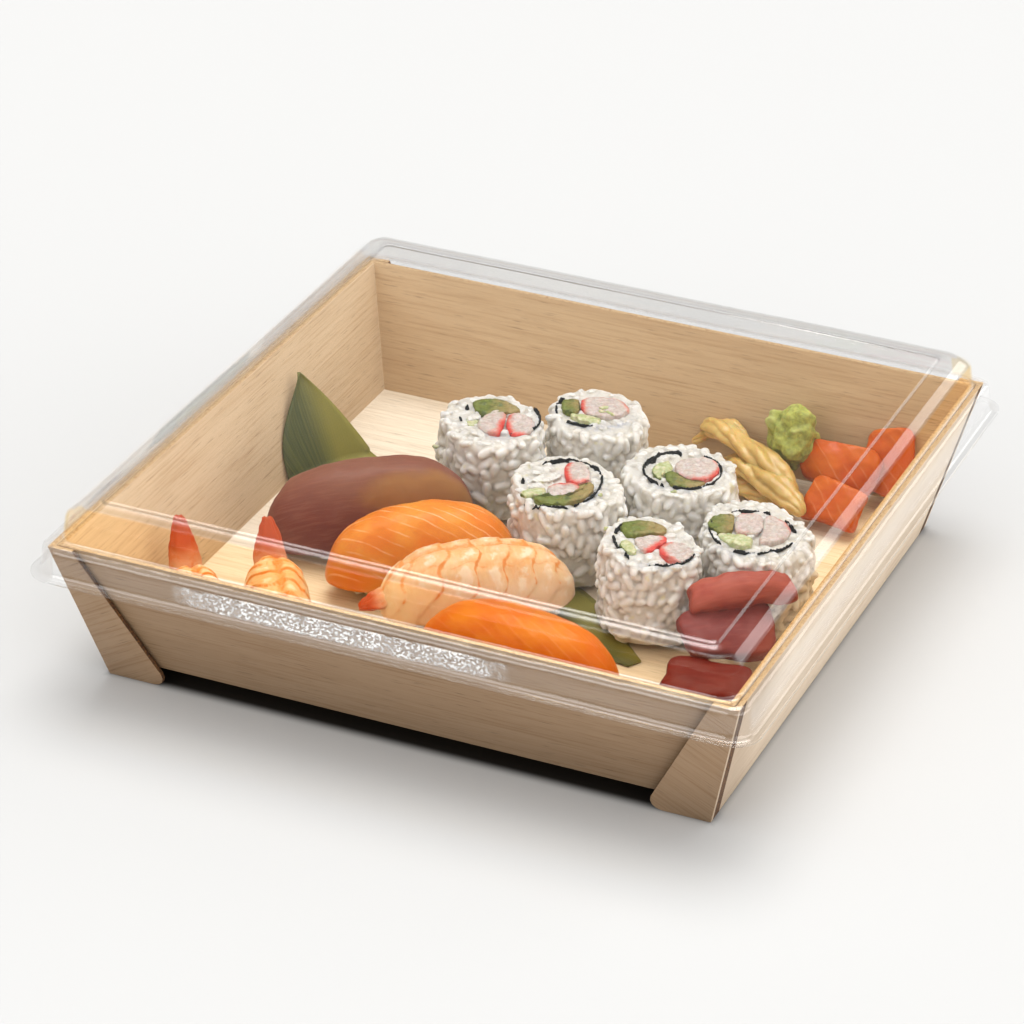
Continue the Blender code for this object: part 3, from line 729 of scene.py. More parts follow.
def cover_with_rice(core, props, seed, cell, sink=(-0.95, 0.35), tilt=0.5, smooth=1):
    """Runs the rice tree on a core, merges what touches and keeps the plain mesh."""
    if "grain" not in _made:
        _made["grain"] = rice_grain(props)
    tree = rice_tree()
    cover = core.modifiers.new("Rice", "NODES")
    cover.node_group = tree
    given = {"Grain": _made["grain"], "Spacing": props.spacing, "Sink least": sink[0] * MM,
             "Sink most": sink[1] * MM, "Tilt": tilt, "Seed": props.seed + seed, "Material": rice_mat()}
    for item in tree.interface.items_tree:
        if item.in_out == "INPUT" and item.name in given:
            cover[item.identifier] = given[item.name]
    baked(core)
    merge = core.modifiers.new("Merge", "REMESH")
    merge.mode = "VOXEL"
    merge.voxel_size = cell
    soft = core.modifiers.new("Soften", "SMOOTH")
    soft.factor = 0.5
    soft.iterations = smooth
    baked(core)
    core.data.materials.clear()
    core.data.materials.append(rice_mat())
    core.data.shade_smooth()
    return core


# ------------------------------------------------------------------ rolls

class RollProps(bpy.types.PropertyGroup):
    crab_red: FloatVectorProperty(name="Crab red", description="Colour of the skin of the crab sticks",
                                  subtype="COLOR", default=(0.60, 0.035, 0.020), min=0, max=1)
    avocado: FloatVectorProperty(name="Avocado", description="Green of the avocado", subtype="COLOR",
                                 default=(0.135, 0.165, 0.022), min=0, max=1)


# for each roll: the nori's middle, its half sizes and turn, the rice's offset, half sizes and turn, and its foot;
# then the arcs where the nori shows: from and to, in degrees, and how thick; then the lumps of rice on the fillings:
# x, y, half sizes and turn; then how far round the nori's stain lies: middle and half width in degrees, strength
ROLLS = {
    "a": ((-29.6, 41.5), (13.2, 12.6, 40), (-2.2, -2.2), (16.8, 20.2, 38), 9.4,
          ((-52, 57, 0.9), (-158, -144, 1.0), (166, 176, 0.8)),
          ((-8.0, -3.2, 2.6, 1.7, 60), (5.0, -8.6, 2.4, 1.5, 30), (-3.0, -12.6, 4.0, 1.8, -20)), (-65, 35, 0.9)),
    "b": ((-5.0, 61.5), (12.8, 12.0, 20), (1.6, -1.4), (16.4, 19.2, 30), 8.5,
          ((163, 216, 1.2), (-113, -62, 0.5)), (), (-50, 60, 1.0)),
    "c": ((5.6, 8.4), (12.4, 16.2, 2), (1.4, 1.6), (17.8, 20.6, 38), 9.4,
          ((62, 138, 0.8), (-52, 62, 1.0), (-170, -162, 1.3), (-98, -60, 0.9)),
          ((-5.8, 2.4, 5.2, 2.5, 50),), (-20, 50, 0.7)),
    "d": ((36.0, 34.8), (12.6, 12.2, 0), (-1.0, 0.6), (18.2, 19.6, 40), 8.5,
          ((112, 172, 2.3), (168, 262, 1.1), (276, 338, 1.1), (-24, 82, 0.8)), (), (-80, 45, 0.8)),
    "e": ((46.0, -14.5), (14.8, 12.0, -40), (-1.4, 0.2), (15.6, 18.8, 38), 9.4,
          ((148, 224, 1.4), (-118, -108, 1.0), (-76, -6, 0.9)), (), (-60, 45, 0.8)),
    "f": ((70.2, 6.4), (13.6, 13.2, -40), (0.8, 1.8), (16.8, 22.2, 40), 8.5,
          ((176, 242, 0.9), (-95, -78, 1.0), (-78, -4, 0.6), (24, 60, 0.5), (86, 140, 0.5)), (), (-90, 40, 0.9)),
}
# for each roll: kind, how high its top is, its corners round the nori's middle, and the edges that have red skin
FILLINGS = {
    "a": (
        ("avocado", 0.3, ((-13.2, 7.0), (-6.9, 11.4), (-0.5, 10.7), (5.2, 6.6), (1.2, 3.4), (-4.3, -1.6), (-9.7, 1.5)), {}),
        ("crab_a", 0.5, ((-5.4, -3.2), (-3.8, 2.1), (-1.8, 4.6), (0.9, 3.2), (2.9, -3.1), (5.0, -10.9), (1.7, -11.9),
                         (-4.2, -10.6)), {3: 0.6, 4: 1.0, 5: 0.6}),
        ("crab_b", 0.3, ((1.6, 3.2), (4.3, 6.0), (8.9, 3.7), (12.4, 0.8), (13.0, -4.9), (11.8, -9.1), (8.1, -10.8),
                         (3.7, -4.4)), {7: 0.8, 6: 1.0, 5: 1.0}),
        ("cucumber", -0.7, ((-10.4, -3.2), (-8.5, -0.2), (-5.8, -3.1), (-5.1, -9.8), (-8.3, -9.0)), {}),
    ),
    "b": (
        ("avocado", 0.2, ((-12.0, 2.1), (-7.5, 5.1), (-5.2, 0.8), (-3.9, -3.9), (-6.4, -6.0), (-9.8, -4.7)), {}),
        ("crab_a", 0.3, ((-7.0, 5.6), (-1.6, 8.8), (5.2, 10.2), (9.8, 5.7), (10.9, 3.9), (9.2, -0.8), (5.2, -4.5),
                         (-3.1, -4.2)), {0: 0.3, 1: 0.5, 2: 0.6, 3: 0.5, 7: 0.9}),
        ("cucumber", 0.1, ((-6.7, -6.7), (-3.1, -4.8), (0.9, -4.8), (5.2, -5.2), (5.2, -9.6), (-1.3, -9.0)), {}),
    ),
    "c": (
        ("avocado", 0.5, ((-5.2, -11.4), (0.5, -11.0), (5.3, -8.1), (7.6, -1.9), (7.4, 4.9), (10.9, 1.8), (10.7, -6.8),
                          (5.4, -14.0), (-1.9, -15.2)), {}),
        ("crab_a", 0.3, ((-3.5, -4.6), (-0.6, -0.1), (3.0, 2.2), (6.2, 0.8), (7.0, -2.6), (4.0, -8.2), (0.2, -9.9)),
         {0: 0.7, 1: 1.0, 2: 1.0, 3: 0.6}),
        ("crab_b", 0.6, ((-3.0, 13.3), (0.7, 15.4), (4.2, 12.3), (7.8, 5.7), (6.7, 3.9), (4.4, 1.2), (0.7, 2.3),
                         (-3.1, 8.9)), {7: 0.9, 6: 1.0, 5: 0.8, 4: 0.7}),
        ("cucumber", 0.2, ((-9.9, -11.7), (-7.6, -7.2), (-3.9, -4.6), (-1.5, -7.8), (-4.3, -10.7), (-6.1, -13.0)), {}),
    ),
    "d": (
        ("avocado", 0.3, ((-4.3, -5.0), (-2.9, -1.9), (1.1, -4.6), (5.6, -6.4), (10.3, -4.4), (9.0, -8.4), (3.8, -11.2),
                          (-0.9, -10.1)), {}),
        ("crab_a", 0.5, ((-3.5, 4.8), (2.0, 10.2), (7.5, 9.8), (11.3, 4.6), (10.9, -1.6), (5.4, -5.8), (0.8, -4.0),
                         (-2.6, -0.8)), {2: 0.4, 3: 0.9, 4: 0.7, 6: 0.3, 5: 0.3}),
        ("cucumber", 0.1, ((-9.6, -2.6), (-8.0, 2.7), (-4.9, 3.4), (-2.8, -0.7), (-4.4, -4.6), (-3.3, -9.6),
                           (-6.5, -7.8)), {}),
    ),
    "e": (
        ("avocado", 0.5, ((-14.2, 6.6), (-9.2, 10.6), (-3.5, 11.4), (0.9, 9.3), (0.7, 6.1), (-4.3, 3.2), (-9.2, -0.2),
                          (-12.0, 2.2)), {}),
        ("crab_a", 0.2, ((-7.0, -0.6), (-3.4, 3.4), (1.0, 5.4), (3.3, 3.0), (2.2, -2.3), (0.8, -6.2), (-3.2, -5.7)),
         {1: 0.4, 2: 0.9, 3: 1.0, 4: 1.0}),
        ("crab_b", 0.4, ((3.9, 2.3), (8.5, 3.1), (12.8, 0.2), (13.9, -2.4), (12.9, -7.1), (9.9, -8.8), (5.6, -7.0),
                         (2.4, -3.6)), {7: 0.9, 6: 1.0, 5: 0.7}),
        ("cucumber", 0.0, ((-9.9, -4.4), (-8.4, -1.1), (-5.3, -3.9), (-2.5, -7.3), (-5.1, -9.5), (-8.5, -7.3)), {}),
    ),
    "f": (
        ("avocado", 0.4, ((-15.0, 0.4), (-14.0, 4.8), (-9.1, 8.4), (-6.6, 1.6), (-5.8, -3.2), (-9.8, -5.4), (-13.7, -2.3)),
         {}),
        ("crab_a", 0.3, ((-8.6, 8.5), (-4.5, 10.9), (-0.7, 11.0), (2.2, 5.0), (2.4, 0.4), (-0.5, -2.5), (-5.3, -2.5)),
         {0: 0.5, 1: 0.45, 5: 0.3}),
        ("crab_b", 0.4, ((-0.1, 11.0), (3.1, 11.9), (7.5, 9.4), (11.0, 5.2), (11.2, 1.1), (8.1, -4.6), (3.8, -6.0),
                         (2.8, 1.6)), {0: 0.45, 1: 0.5, 2: 0.55}),
        ("cucumber", 0.2, ((-10.2, -6.4), (-6.0, -3.9), (-0.2, -3.4), (2.4, -4.8), (2.6, -9.8), (-1.4, -10.4),
                           (-6.4, -9.5)), {}),
    ),
}
ROLL_TALL = 29.0
SIDES = 96


def oval(angle, half_x, half_y, turn):
    a = angle - math.radians(turn)
    return (np.abs(np.cos(a) / half_x) ** 2.2 + np.abs(np.sin(a) / half_y) ** 2.2) ** (-1 / 2.2)


def ellipsoid(middle, half, turn=0.0, rings=8, around=12):
    """Points and faces of a closed egg shape, with pole points."""
    points = [(0, 0, -half[2])]
    for i in range(1, rings):
        t = math.pi * i / rings
        for j in range(around):
            a = TURN * j / around
            points.append((half[0] * math.sin(t) * math.cos(a), half[1] * math.sin(t) * math.sin(a),
                           -half[2] * math.cos(t)))
    points.append((0, 0, half[2]))
    last = len(points) - 1
    faces = []
    for j in range(around):
        k = (j + 1) % around
        faces.append([0, 1 + k, 1 + j])
        faces.append([last, last - around + j, last - around + k])
        for i in range(rings - 2):
            a = 1 + i * around
            faces.append([a + j, a + k, a + around + k, a + around + j])
    return placed(np.array(points), middle[0], middle[1], turn, middle[2]), faces


def roll_rice(key, props, index):
    middle, nori, offset, rice, foot, _, lumps, stain = ROLLS[key]
    angle = np.arange(SIDES) * TURN / SIDES
    centre = np.array(middle) + np.array(offset)
    lump = 1 + 0.018 * np.sin(3 * angle + 7 * middle[0]) + 0.014 * np.sin(5 * angle + middle[1])
    reach = oval(angle, *rice) * lump - 1.4
    hole = oval(angle, *nori)
    rows, weights = [], []

    def ring(base, radius, height, weight):
        rows.append(np.stack([base[0] + radius * np.cos(angle), base[1] + radius * np.sin(angle),
                              np.full(SIDES, height)], axis=1))
        weights.append(np.full(SIDES, weight))

    top = foot + ROLL_TALL
    ring(centre, reach * 0.5, foot + 1.0, 0.0)
    ring(centre, reach * 0.955, foot + 1.0, 0.3)
    for part, scale in ((0.08, 0.985), (0.2, 1.0), (0.35, 1.015), (0.5, 1.02), (0.65, 1.015), (0.8, 1.0), (0.9, 0.985)):
        ring(centre, reach * scale, foot + ROLL_TALL * part, 1.0)
    ring(centre, reach * 0.97, top - 1.9, 0.9)
    outer = np.stack([centre[0] + reach * 0.93 * np.cos(angle), centre[1] + reach * 0.93 * np.sin(angle)], axis=1)
    inner = np.stack([middle[0] + hole * np.cos(angle), middle[1] + hole * np.sin(angle)], axis=1)
    core = np.array(middle)
    for share, height, weight in ((0.0, 0.9, 0.9), (0.25, 0.8, 0.9), (0.5, 0.75, 0.9), (0.75, 0.75, 0.9), (1.0, 0.9, 0.9)):
        rows.append(np.column_stack([outer * (1 - share) + inner * share, np.full(SIDES, top - height)]))
        weights.append(np.full(SIDES, weight))
    for share in (0.75, 0.5, 0.25, 0.06):
        rows.append(np.column_stack([core + (inner - core) * share, np.full(SIDES, top - 1.5)]))
        weights.append(np.full(SIDES, 0.7))
    points = np.concatenate(rows)
    bump_up = wobble(points, 0.9, 5.0, index)
    bump_up[:, 2] *= 0.6
    points += bump_up
    faces = grid_faces(len(rows), SIDES, wrap=True)
    faces.append(list(range(SIDES - 1, -1, -1)))
    first = (len(rows) - 1) * SIDES
    faces.append(list(range(first, first + SIDES)))
    grains = np.concatenate(weights)
    for x, y, long, wide, turn in lumps:
        more, extra = ellipsoid((middle[0] + x, middle[1] + y, top - 0.1), (long, wide, 1.5), turn)
        more = more + wobble(more, 0.5, 2.0, x)
        faces += [[v + len(points) for v in face] for face in extra]
        points = np.concatenate([points, more])
        grains = np.concatenate([grains, np.zeros(len(more))])
    body = make_piece("rice_roll_" + key, points, faces, rice_mat(), values={"grains": grains})
    cover_with_rice(body, props, 11 * index + 3, props.sticky)
    press_top(body, top, middle, nori, stain)
    return finish_piece(body, "rice", "roll_%s_rice" % key)


def hollows(mesh, points, rounds=14):
    """How far each point lies under the smoothed surface, in units of 0.35 mm: gaps above 0, crests below."""
    count = len(points)
    pairs = np.empty(len(mesh.edges) * 2, dtype=np.int64)
    mesh.edges.foreach_get("vertices", pairs)
    ends = np.concatenate([pairs[0::2], pairs[1::2]])
    others = np.concatenate([pairs[1::2], pairs[0::2]])
    links = np.maximum(np.bincount(ends, minlength=count), 1)[:, None]
    soft = points
    for _ in range(rounds):
        soft = np.stack([np.bincount(ends, soft[others, k], count) for k in range(3)], axis=1) / links
    normals = np.empty(count * 3)
    mesh.vertices.foreach_get("normal", normals)
    return np.clip(((soft - points) * normals.reshape(-1, 3)).sum(axis=1) / 0.35, -1, 1)


def press_top(obj, top, middle, nori, spot):
    """The knife leaves the top nearly flat, and the nori stains the rice beside it."""
    mesh = obj.data
    count = len(mesh.vertices)
    points = np.empty(count * 3)
    mesh.vertices.foreach_get("co", points)
    points = points.reshape(-1, 3) / MM
    relief = hollows(mesh, points)
    start = top - 1.3
    over = points[:, 2] > start
    points[over, 2] = start + 1.5 * np.tanh((points[over, 2] - start) / 1.9)
    side = points[:, :2] - np.array(middle)
    angle = np.degrees(np.arctan2(side[:, 1], side[:, 0]))
    gap = np.hypot(side[:, 0], side[:, 1]) - oval(np.radians(angle), *nori)
    away = np.abs((angle - spot[0] + 180) % 360 - 180)
    patch = np.clip(1.2 - (away / spot[1]) ** 2, 0, 1) * spot[2] + 0.12
    stain = np.clip(1 - np.abs(gap) / 3.4, 0, 1) * np.clip((points[:, 2] - top + 4) / 3, 0, 1) * patch
    mesh.vertices.foreach_set("co", (points * MM).ravel())
    level = np.clip((points[:, 2] - start) / 0.7, 0, 1)
    for name, values in (("stain", stain), ("flat", level), ("relief", relief)):
        mesh.attributes.new(name, "FLOAT", "POINT").data.foreach_set("value", values.astype(np.float32))
    mesh.update()


def nori_material():
    mat, tree, shader = new_material("nori", 0.75)
    shader.inputs["Specular IOR Level"].default_value = 0.15
    base = where(tree)
    rough = grain(tree, base, 0.8, 4.0, 0.65)
    paint(tree, shader, blend(tree, step(tree, rough, 0.35, 0.75), (0.004, 0.005, 0.006), (0.020, 0.022, 0.020)))
    bump(tree, shader, rough, 0.35, 0.8)
    return mat


def roll_nori(key, mat, index):
    """A thin, ragged band: it shows along its arcs, and elsewhere the rice closes over it."""
    middle, nori, _, _, foot, arcs, _, _ = ROLLS[key]
    count = 280
    angle = np.arange(count) * TURN / count
    degrees = np.degrees(angle)
    edge = np.stack([np.cos(angle), np.sin(angle), np.full(count, 0.0)], axis=1)
    shown, thick = np.zeros(count), np.full(count, 0.28)
    for first, last, wide in arcs:
        mid, half = (first + last) / 2, (last - first) / 2
        near = np.clip((half + 3 - np.abs((degrees - mid + 180) % 360 - 180)) / 4, 0, 1)
        shown = np.maximum(shown, near)
        thick = np.maximum(thick, 0.52 * wide * near)
    shown *= np.clip(1.75 + 2.4 * swell(edge, 0.14, 41.0 + index), 0, 1)
    ripple = swell(edge, 0.16, 3.0 + index) * 0.5 + swell(edge, 0.04, 9.0 + index) * 0.22
    rise = swell(edge, 0.12, 17.0 + index) * 0.5 + swell(edge, 0.03, 23.0 + index) * 0.5
    thick = thick * (1 + 0.5 * swell(edge, 0.09, 31.0 + index) + 0.4 * swell(edge, 0.03, 37.0 + index))
    reach = oval(angle, *nori) - 0.05 + 0.5 * ripple
    top = foot + ROLL_TALL + 0.2
    rows = []
    for inward, height, follow in ((0, foot + 1, 0), (0, top - 4, 0), (0, top - 0.3, 1), (0.2, top, 1), (0.5, top, 1),
                                   (0.8, top, 1), (1.0, top - 0.3, 1), (1, top - 4, 0), (1, foot + 1, 0)):
        radius = reach - inward * thick - (0.0 if follow else 1.3)
        rows.append(np.stack([middle[0] + radius * np.cos(angle), middle[1] + radius * np.sin(angle),
                              height + follow * (rise - 2.6 * (1 - shown))], axis=1))
    points = np.concatenate(rows)
    total = len(points)
    faces = [[v % total for v in face] for face in grid_faces(len(rows) + 1, count, wrap=True)]
    band = make_piece("nori_roll_" + key, points, faces, mat)
    return finish_piece(band, "nori", "roll_%s_nori" % key)


def round_corners(points, rounds=3, cut=0.24):
    """Cuts the corners of a closed outline again and again, and says which edge each point is on."""
    points = np.array(points, float)
    edge = np.arange(len(points), dtype=float)
    for _ in range(rounds):
        ahead = np.roll(points, -1, axis=0)
        points = np.stack([points * (1 - cut) + ahead * cut, points * cut + ahead * (1 - cut)], axis=1).reshape(-1, 2)
    return points


def gap_to(points, line_a, line_b):
    """Distance from each point to each segment."""
    along = line_b - line_a
    size = np.maximum((along ** 2).sum(axis=1), 1e-9)
    t = ((points[:, None, :] - line_a[None]) * along[None]).sum(axis=2) / size
    near = line_a[None] + np.clip(t, 0, 1)[:, :, None] * along[None]
    return np.linalg.norm(points[:, None, :] - near, axis=2)


def inside(points, outline):
    """Whether each point is inside a closed outline."""
    x, y = points[:, 0:1], points[:, 1:2]
    ax, ay = outline[:, 0][None], outline[:, 1][None]
    bx, by = np.roll(ax, -1), np.roll(ay, -1)
    cross = ((ay > y) != (by > y)) & (x < (bx - ax) * (y - ay) / (by - ay + 1e-12) + ax)
    return cross.sum(axis=1) % 2 == 1


def filling_piece(name, corners, reds, middle, top, foot, mat, seed, rough):
    """A filling cut across: its outline from its corners, its top uneven, its sides down through the roll."""
    corners = np.array(corners, float)
    outline = round_corners(corners)
    outline += (0.16 + 0.4 * (rough - 0.18)) * np.stack([swell(np.column_stack([outline, 0 * outline[:, 0]]), 1.3, seed),
                                swell(np.column_stack([outline, 0 * outline[:, 0]]), 1.3, seed + 9)], axis=1)
    step_size = 0.62
    low, high = outline.min(axis=0), outline.max(axis=0)
    grid = np.stack(np.meshgrid(np.arange(low[0], high[0], step_size), np.arange(low[1], high[1], step_size)), -1)
    grid[::2, :, 0] += step_size / 2
    grid = grid.reshape(-1, 2)
    ahead = np.roll(outline, -1, axis=0)
    grid = grid[inside(grid, outline)]
    grid = grid[gap_to(grid, outline, ahead).min(axis=1) > 0.35]
    flat = np.concatenate([outline, grid])
    count = len(outline)
    loop = [(i, (i + 1) % count) for i in range(count)]
    made = delaunay_2d_cdt([Vector(p) for p in flat], loop, [], 1, 1e-6, True)
    flat = np.array([v[:] for v in made[0]])
    rim = [0] * count
    for new, olds in enumerate(made[3]):
        for old in olds:
            if old < count:
                rim[old] = new
    faces = [list(face) for face in made[2]]
    gap = gap_to(flat, outline, ahead).min(axis=1)
    spots = np.column_stack([flat, np.zeros(len(flat))])
    height = top - 0.42 * (1 - np.clip(gap / 0.8, 0, 1)) ** 2 + 0.40 * swell(spots, 2.4, seed) + rough * swell(spots, 1.1, seed)
    points = [np.column_stack([flat, height])]
    start = rim
    for drop in (1.4, 5.0, top - foot - 1.0):
        base = sum(len(p) for p in points)
        shape = outline * 1.0
        points.append(np.column_stack([shape, np.full(count, top - drop)]))
        ring = list(range(base, base + count))
        faces += [[start[i], ring[i], ring[(i + 1) % count], start[(i + 1) % count]] for i in range(count)]
        start = ring
    faces.append(start)
    points = np.concatenate(points)
    ends = np.roll(corners, -1, axis=0)
    red = np.zeros(len(points))
    for edge, strength in reds.items():
        away = gap_to(points[:, :2], corners[edge:edge + 1], ends[edge:edge + 1])[:, 0]
        red = np.maximum(red, strength * np.exp(-(away / (0.6 + 1.3 * strength)) ** 2))
    centre = flat.mean(axis=0)
    tone = (points[:, :2] - centre) @ np.array((0.918, 0.395)) / 6.0
    far = np.linalg.norm(corners, axis=1)
    skin = np.clip((np.linalg.norm(points[:, :2], axis=1) - far.max() + 1.6) / 1.6, 0, 1)
    points[:, :2] += np.array(middle)
    return make_piece(name, points, faces, mat, sharp=60, values={"red": red, "tone": tone, "skin": skin})


def crab_material(red):
    mat, tree, shader = new_material("crab_stick", 0.40, Subsurface_Weight=0.3, Subsurface_Scale=0.0015)
    shader.inputs["Specular IOR Level"].default_value = 0.3
    base = where(tree)
    fibre = grain(tree, node(tree, "Mapping", {"Vector": base, "Scale": (1, 1, 0.06)}).outputs[0], 0.75, 3.0, 0.6, 0.8)
    colour = blend(tree, step(tree, fibre, 0.35, 0.7), (0.47, 0.375, 0.325), (0.64, 0.56, 0.51))
    patch = grain(tree, base, 0.75, 4.0, 0.65)
    share = maths(tree, "ADD", attribute(tree, "red"), maths(tree, "MULTIPLY", maths(tree, "SUBTRACT", patch, 0.5), 1.1))
    colour = blend(tree, step(tree, share, 0.08, 0.55, 0.0, 0.75), colour, (0.62, 0.20, 0.15))
    colour = blend(tree, step(tree, share, 0.40, 0.95, 0.0, 0.9), colour, red)
    paint(tree, shader, colour)
    bump(tree, shader, fibre, 0.25, 0.6)
    return mat


def avocado_material(green):
    mat, tree, shader = new_material("avocado", 0.45, Subsurface_Weight=0.1, Subsurface_Scale=0.001)
    shader.inputs["Specular IOR Level"].default_value = 0.3
    base = where(tree)
    cloud = grain(tree, base, 0.28, 3.0, 0.6)
    along = maths(tree, "ADD", attribute(tree, "tone"), maths(tree, "MULTIPLY", maths(tree, "SUBTRACT", cloud, 0.5), 2.2))
    colour = blend(tree, step(tree, along, -0.6, 0.9), green, (0.30, 0.215, 0.075))
    dark = grain(tree, base, 0.45, 2.0, 0.5)
    colour = blend(tree, step(tree, dark, 0.52, 0.72, 0.0, 0.75), colour, (0.050, 0.072, 0.014))
    small = grain(tree, base, 1.2, 3.0, 0.6)
    colour = blend(tree, step(tree, small, 0.5, 0.75, 0.0, 0.35), colour, (0.36, 0.36, 0.12))
    paint(tree, shader, colour)
    bump(tree, shader, small, 0.25, 0.6)
    return mat


def cucumber_material():
    mat, tree, shader = new_material("cucumber", 0.34, Subsurface_Weight=0.25, Subsurface_Scale=0.0015)
    shader.inputs["Specular IOR Level"].default_value = 0.3
    base = where(tree)
    wet = grain(tree, base, 0.7, 3.0, 0.6)
    colour = blend(tree, step(tree, wet, 0.35, 0.7), (0.40, 0.43, 0.19), (0.62, 0.61, 0.40))
    ragged = maths(tree, "ADD", attribute(tree, "skin"), maths(tree, "MULTIPLY", maths(tree, "SUBTRACT", wet, 0.5), 0.8))
    colour = blend(tree, step(tree, ragged, 0.45, 0.7), colour, (0.10, 0.14, 0.020))
    paint(tree, shader, colour)
    bump(tree, shader, wet, 0.2, 0.6)
    return mat


# little bits on the rolls: roll, x, y, height over the top, half length, half width, turn
CRUMBS = (
    ("b", 2.8, 1.4, 0.4, 1.7, 0.9, 40), ("b", 6.2, -1.6, 0.3, 1.9, 0.7, -20), ("b", 3.4, -1.4, 0.3, 1.3, 0.8, 10),
    ("c", 16.5, -8.0, -3.5, 1.1, 0.5, 30), ("c", 14.0, -2.0, 0.0, 0.9, 0.5, 70), ("d", -4.4, -5.4, 0.5, 1.9, 0.5, 95),
    ("d", 3.0, -15.0, 0.0, 1.0, 0.6, 20), ("a", -17.5, -12.0, -9.0, 1.2, 0.6, 0), ("e", -17.5, 4.0, -1.5, 1.0, 0.6, 60),
)


def build_crumbs(mat):
    points, faces = np.zeros((0, 3)), []
    for i, (key, x, y, rise, long, wide, turn) in enumerate(CRUMBS):
        middle, foot = ROLLS[key][0], ROLLS[key][4]
        more, extra = ellipsoid((middle[0] + x, middle[1] + y, foot + ROLL_TALL + rise), (long, wide, 0.6), turn)
        more = more + wobble(more, 0.35, 1.2, i)
        faces += [[v + len(points) for v in face] for face in extra]
        points = np.concatenate([points, more])
    finish_piece(make_piece("avocado_crumbs", points, faces, mat), "avocado")


def build_rolls(props, rice):
    mats = {"crab": crab_material(tuple(props.crab_red)), "avocado": avocado_material(tuple(props.avocado)),
            "cucumber": cucumber_material(), "nori": nori_material()}
    slots = {"crab": "crab_stick", "avocado": "avocado", "cucumber": "cucumber"}
    for index, key in enumerate(ROLLS):
        middle, foot = ROLLS[key][0], ROLLS[key][4]
        roll_rice(key, rice, index)
        roll_nori(key, mats["nori"], index)
        for order, (kind, rise, corners, reds) in enumerate(FILLINGS[key]):
            plain_kind = kind.split("_")[0]
            piece = filling_piece("%s_roll_%s" % (kind, key), corners, reds, middle, foot + ROLL_TALL + 0.12 + rise, foot,
                                  mats[plain_kind], 5 * index + order, 0.18 if plain_kind == "crab" else 0.42)
            finish_piece(piece, slots[plain_kind], "roll_%s_%s" % (key, kind))
    build_crumbs(mats["cucumber"])


# ------------------------------------------------------------------ nigiri

class NigiriProps(bpy.types.PropertyGroup):
    salmon: FloatVectorProperty(name="Salmon", description="Orange of the salmon", subtype="COLOR",
                                default=(0.69, 0.180, 0.007), min=0, max=1)
    tuna: FloatVectorProperty(name="Tuna", description="Colour of the tuna", subtype="COLOR",
                              default=(0.175, 0.040, 0.022), min=0, max=1)
    shrimp: FloatVectorProperty(name="Shrimp", description="Pale flesh of the cooked shrimp", subtype="COLOR",
                                default=(0.74, 0.45, 0.21), min=0, max=1)


# x, y, turn, length, width, thickness, hem, top, taper, foot, rise of the tail or None
NIGIRI = {
    "tuna": (-53.5, -5.0, 31.0, 68.0, 26.5, 6.5, 13.0, 38.5, 0.04, 9.4, None),
    "salmon_a": (-27.8, -23.0, 33.0, 61.0, 25.0, 6.0, 14.5, 36.5, -0.04, 9.4, None),
    "shrimp_a": (-2.5, -37.5, 37.0, 62.0, 25.0, 4.5, 18.0, 36.0, 0.06, 9.4, 2.0),
    "salmon_b": (24.0, -68.5, 4.0, 64.0, 27.0, 6.0, 14.5, 36.0, 0.0, 8.5, None),
    "shrimp_b": (-53.0, -73.5, -57.0, 42.0, 21.0, 4.0, 17.0, 33.5, 0.0, 8.5, 22.0),
    "shrimp_c": (-77.0, -78.5, -47.0, 34.0, 19.0, 4.0, 15.0, 28.5, 0.0, 8.5, 24.0),
}


def dome(half_long, half_wide, hem, top, taper, rings, sides, square=2.5, crown=3.2):
    """Points of a draped slice from its hem to its top, with its plan outline."""
    angle = np.arange(sides) * TURN / sides
    c, s = np.cos(angle), np.sin(angle)
    wide = half_wide * (1 - taper * c)
    reach = (np.abs(c / half_long) ** square + np.abs(s / wide) ** square) ** (-1 / square)
    rows = []
    for i in range(rings):
        t = 0.5 * math.pi * i / rings
        part = math.cos(t) ** (2 / crown)
        rows.append(np.stack([reach * c * part, reach * s * part,
                              np.full(sides, hem + (top - hem) * math.sin(t))], axis=1))
    return rows


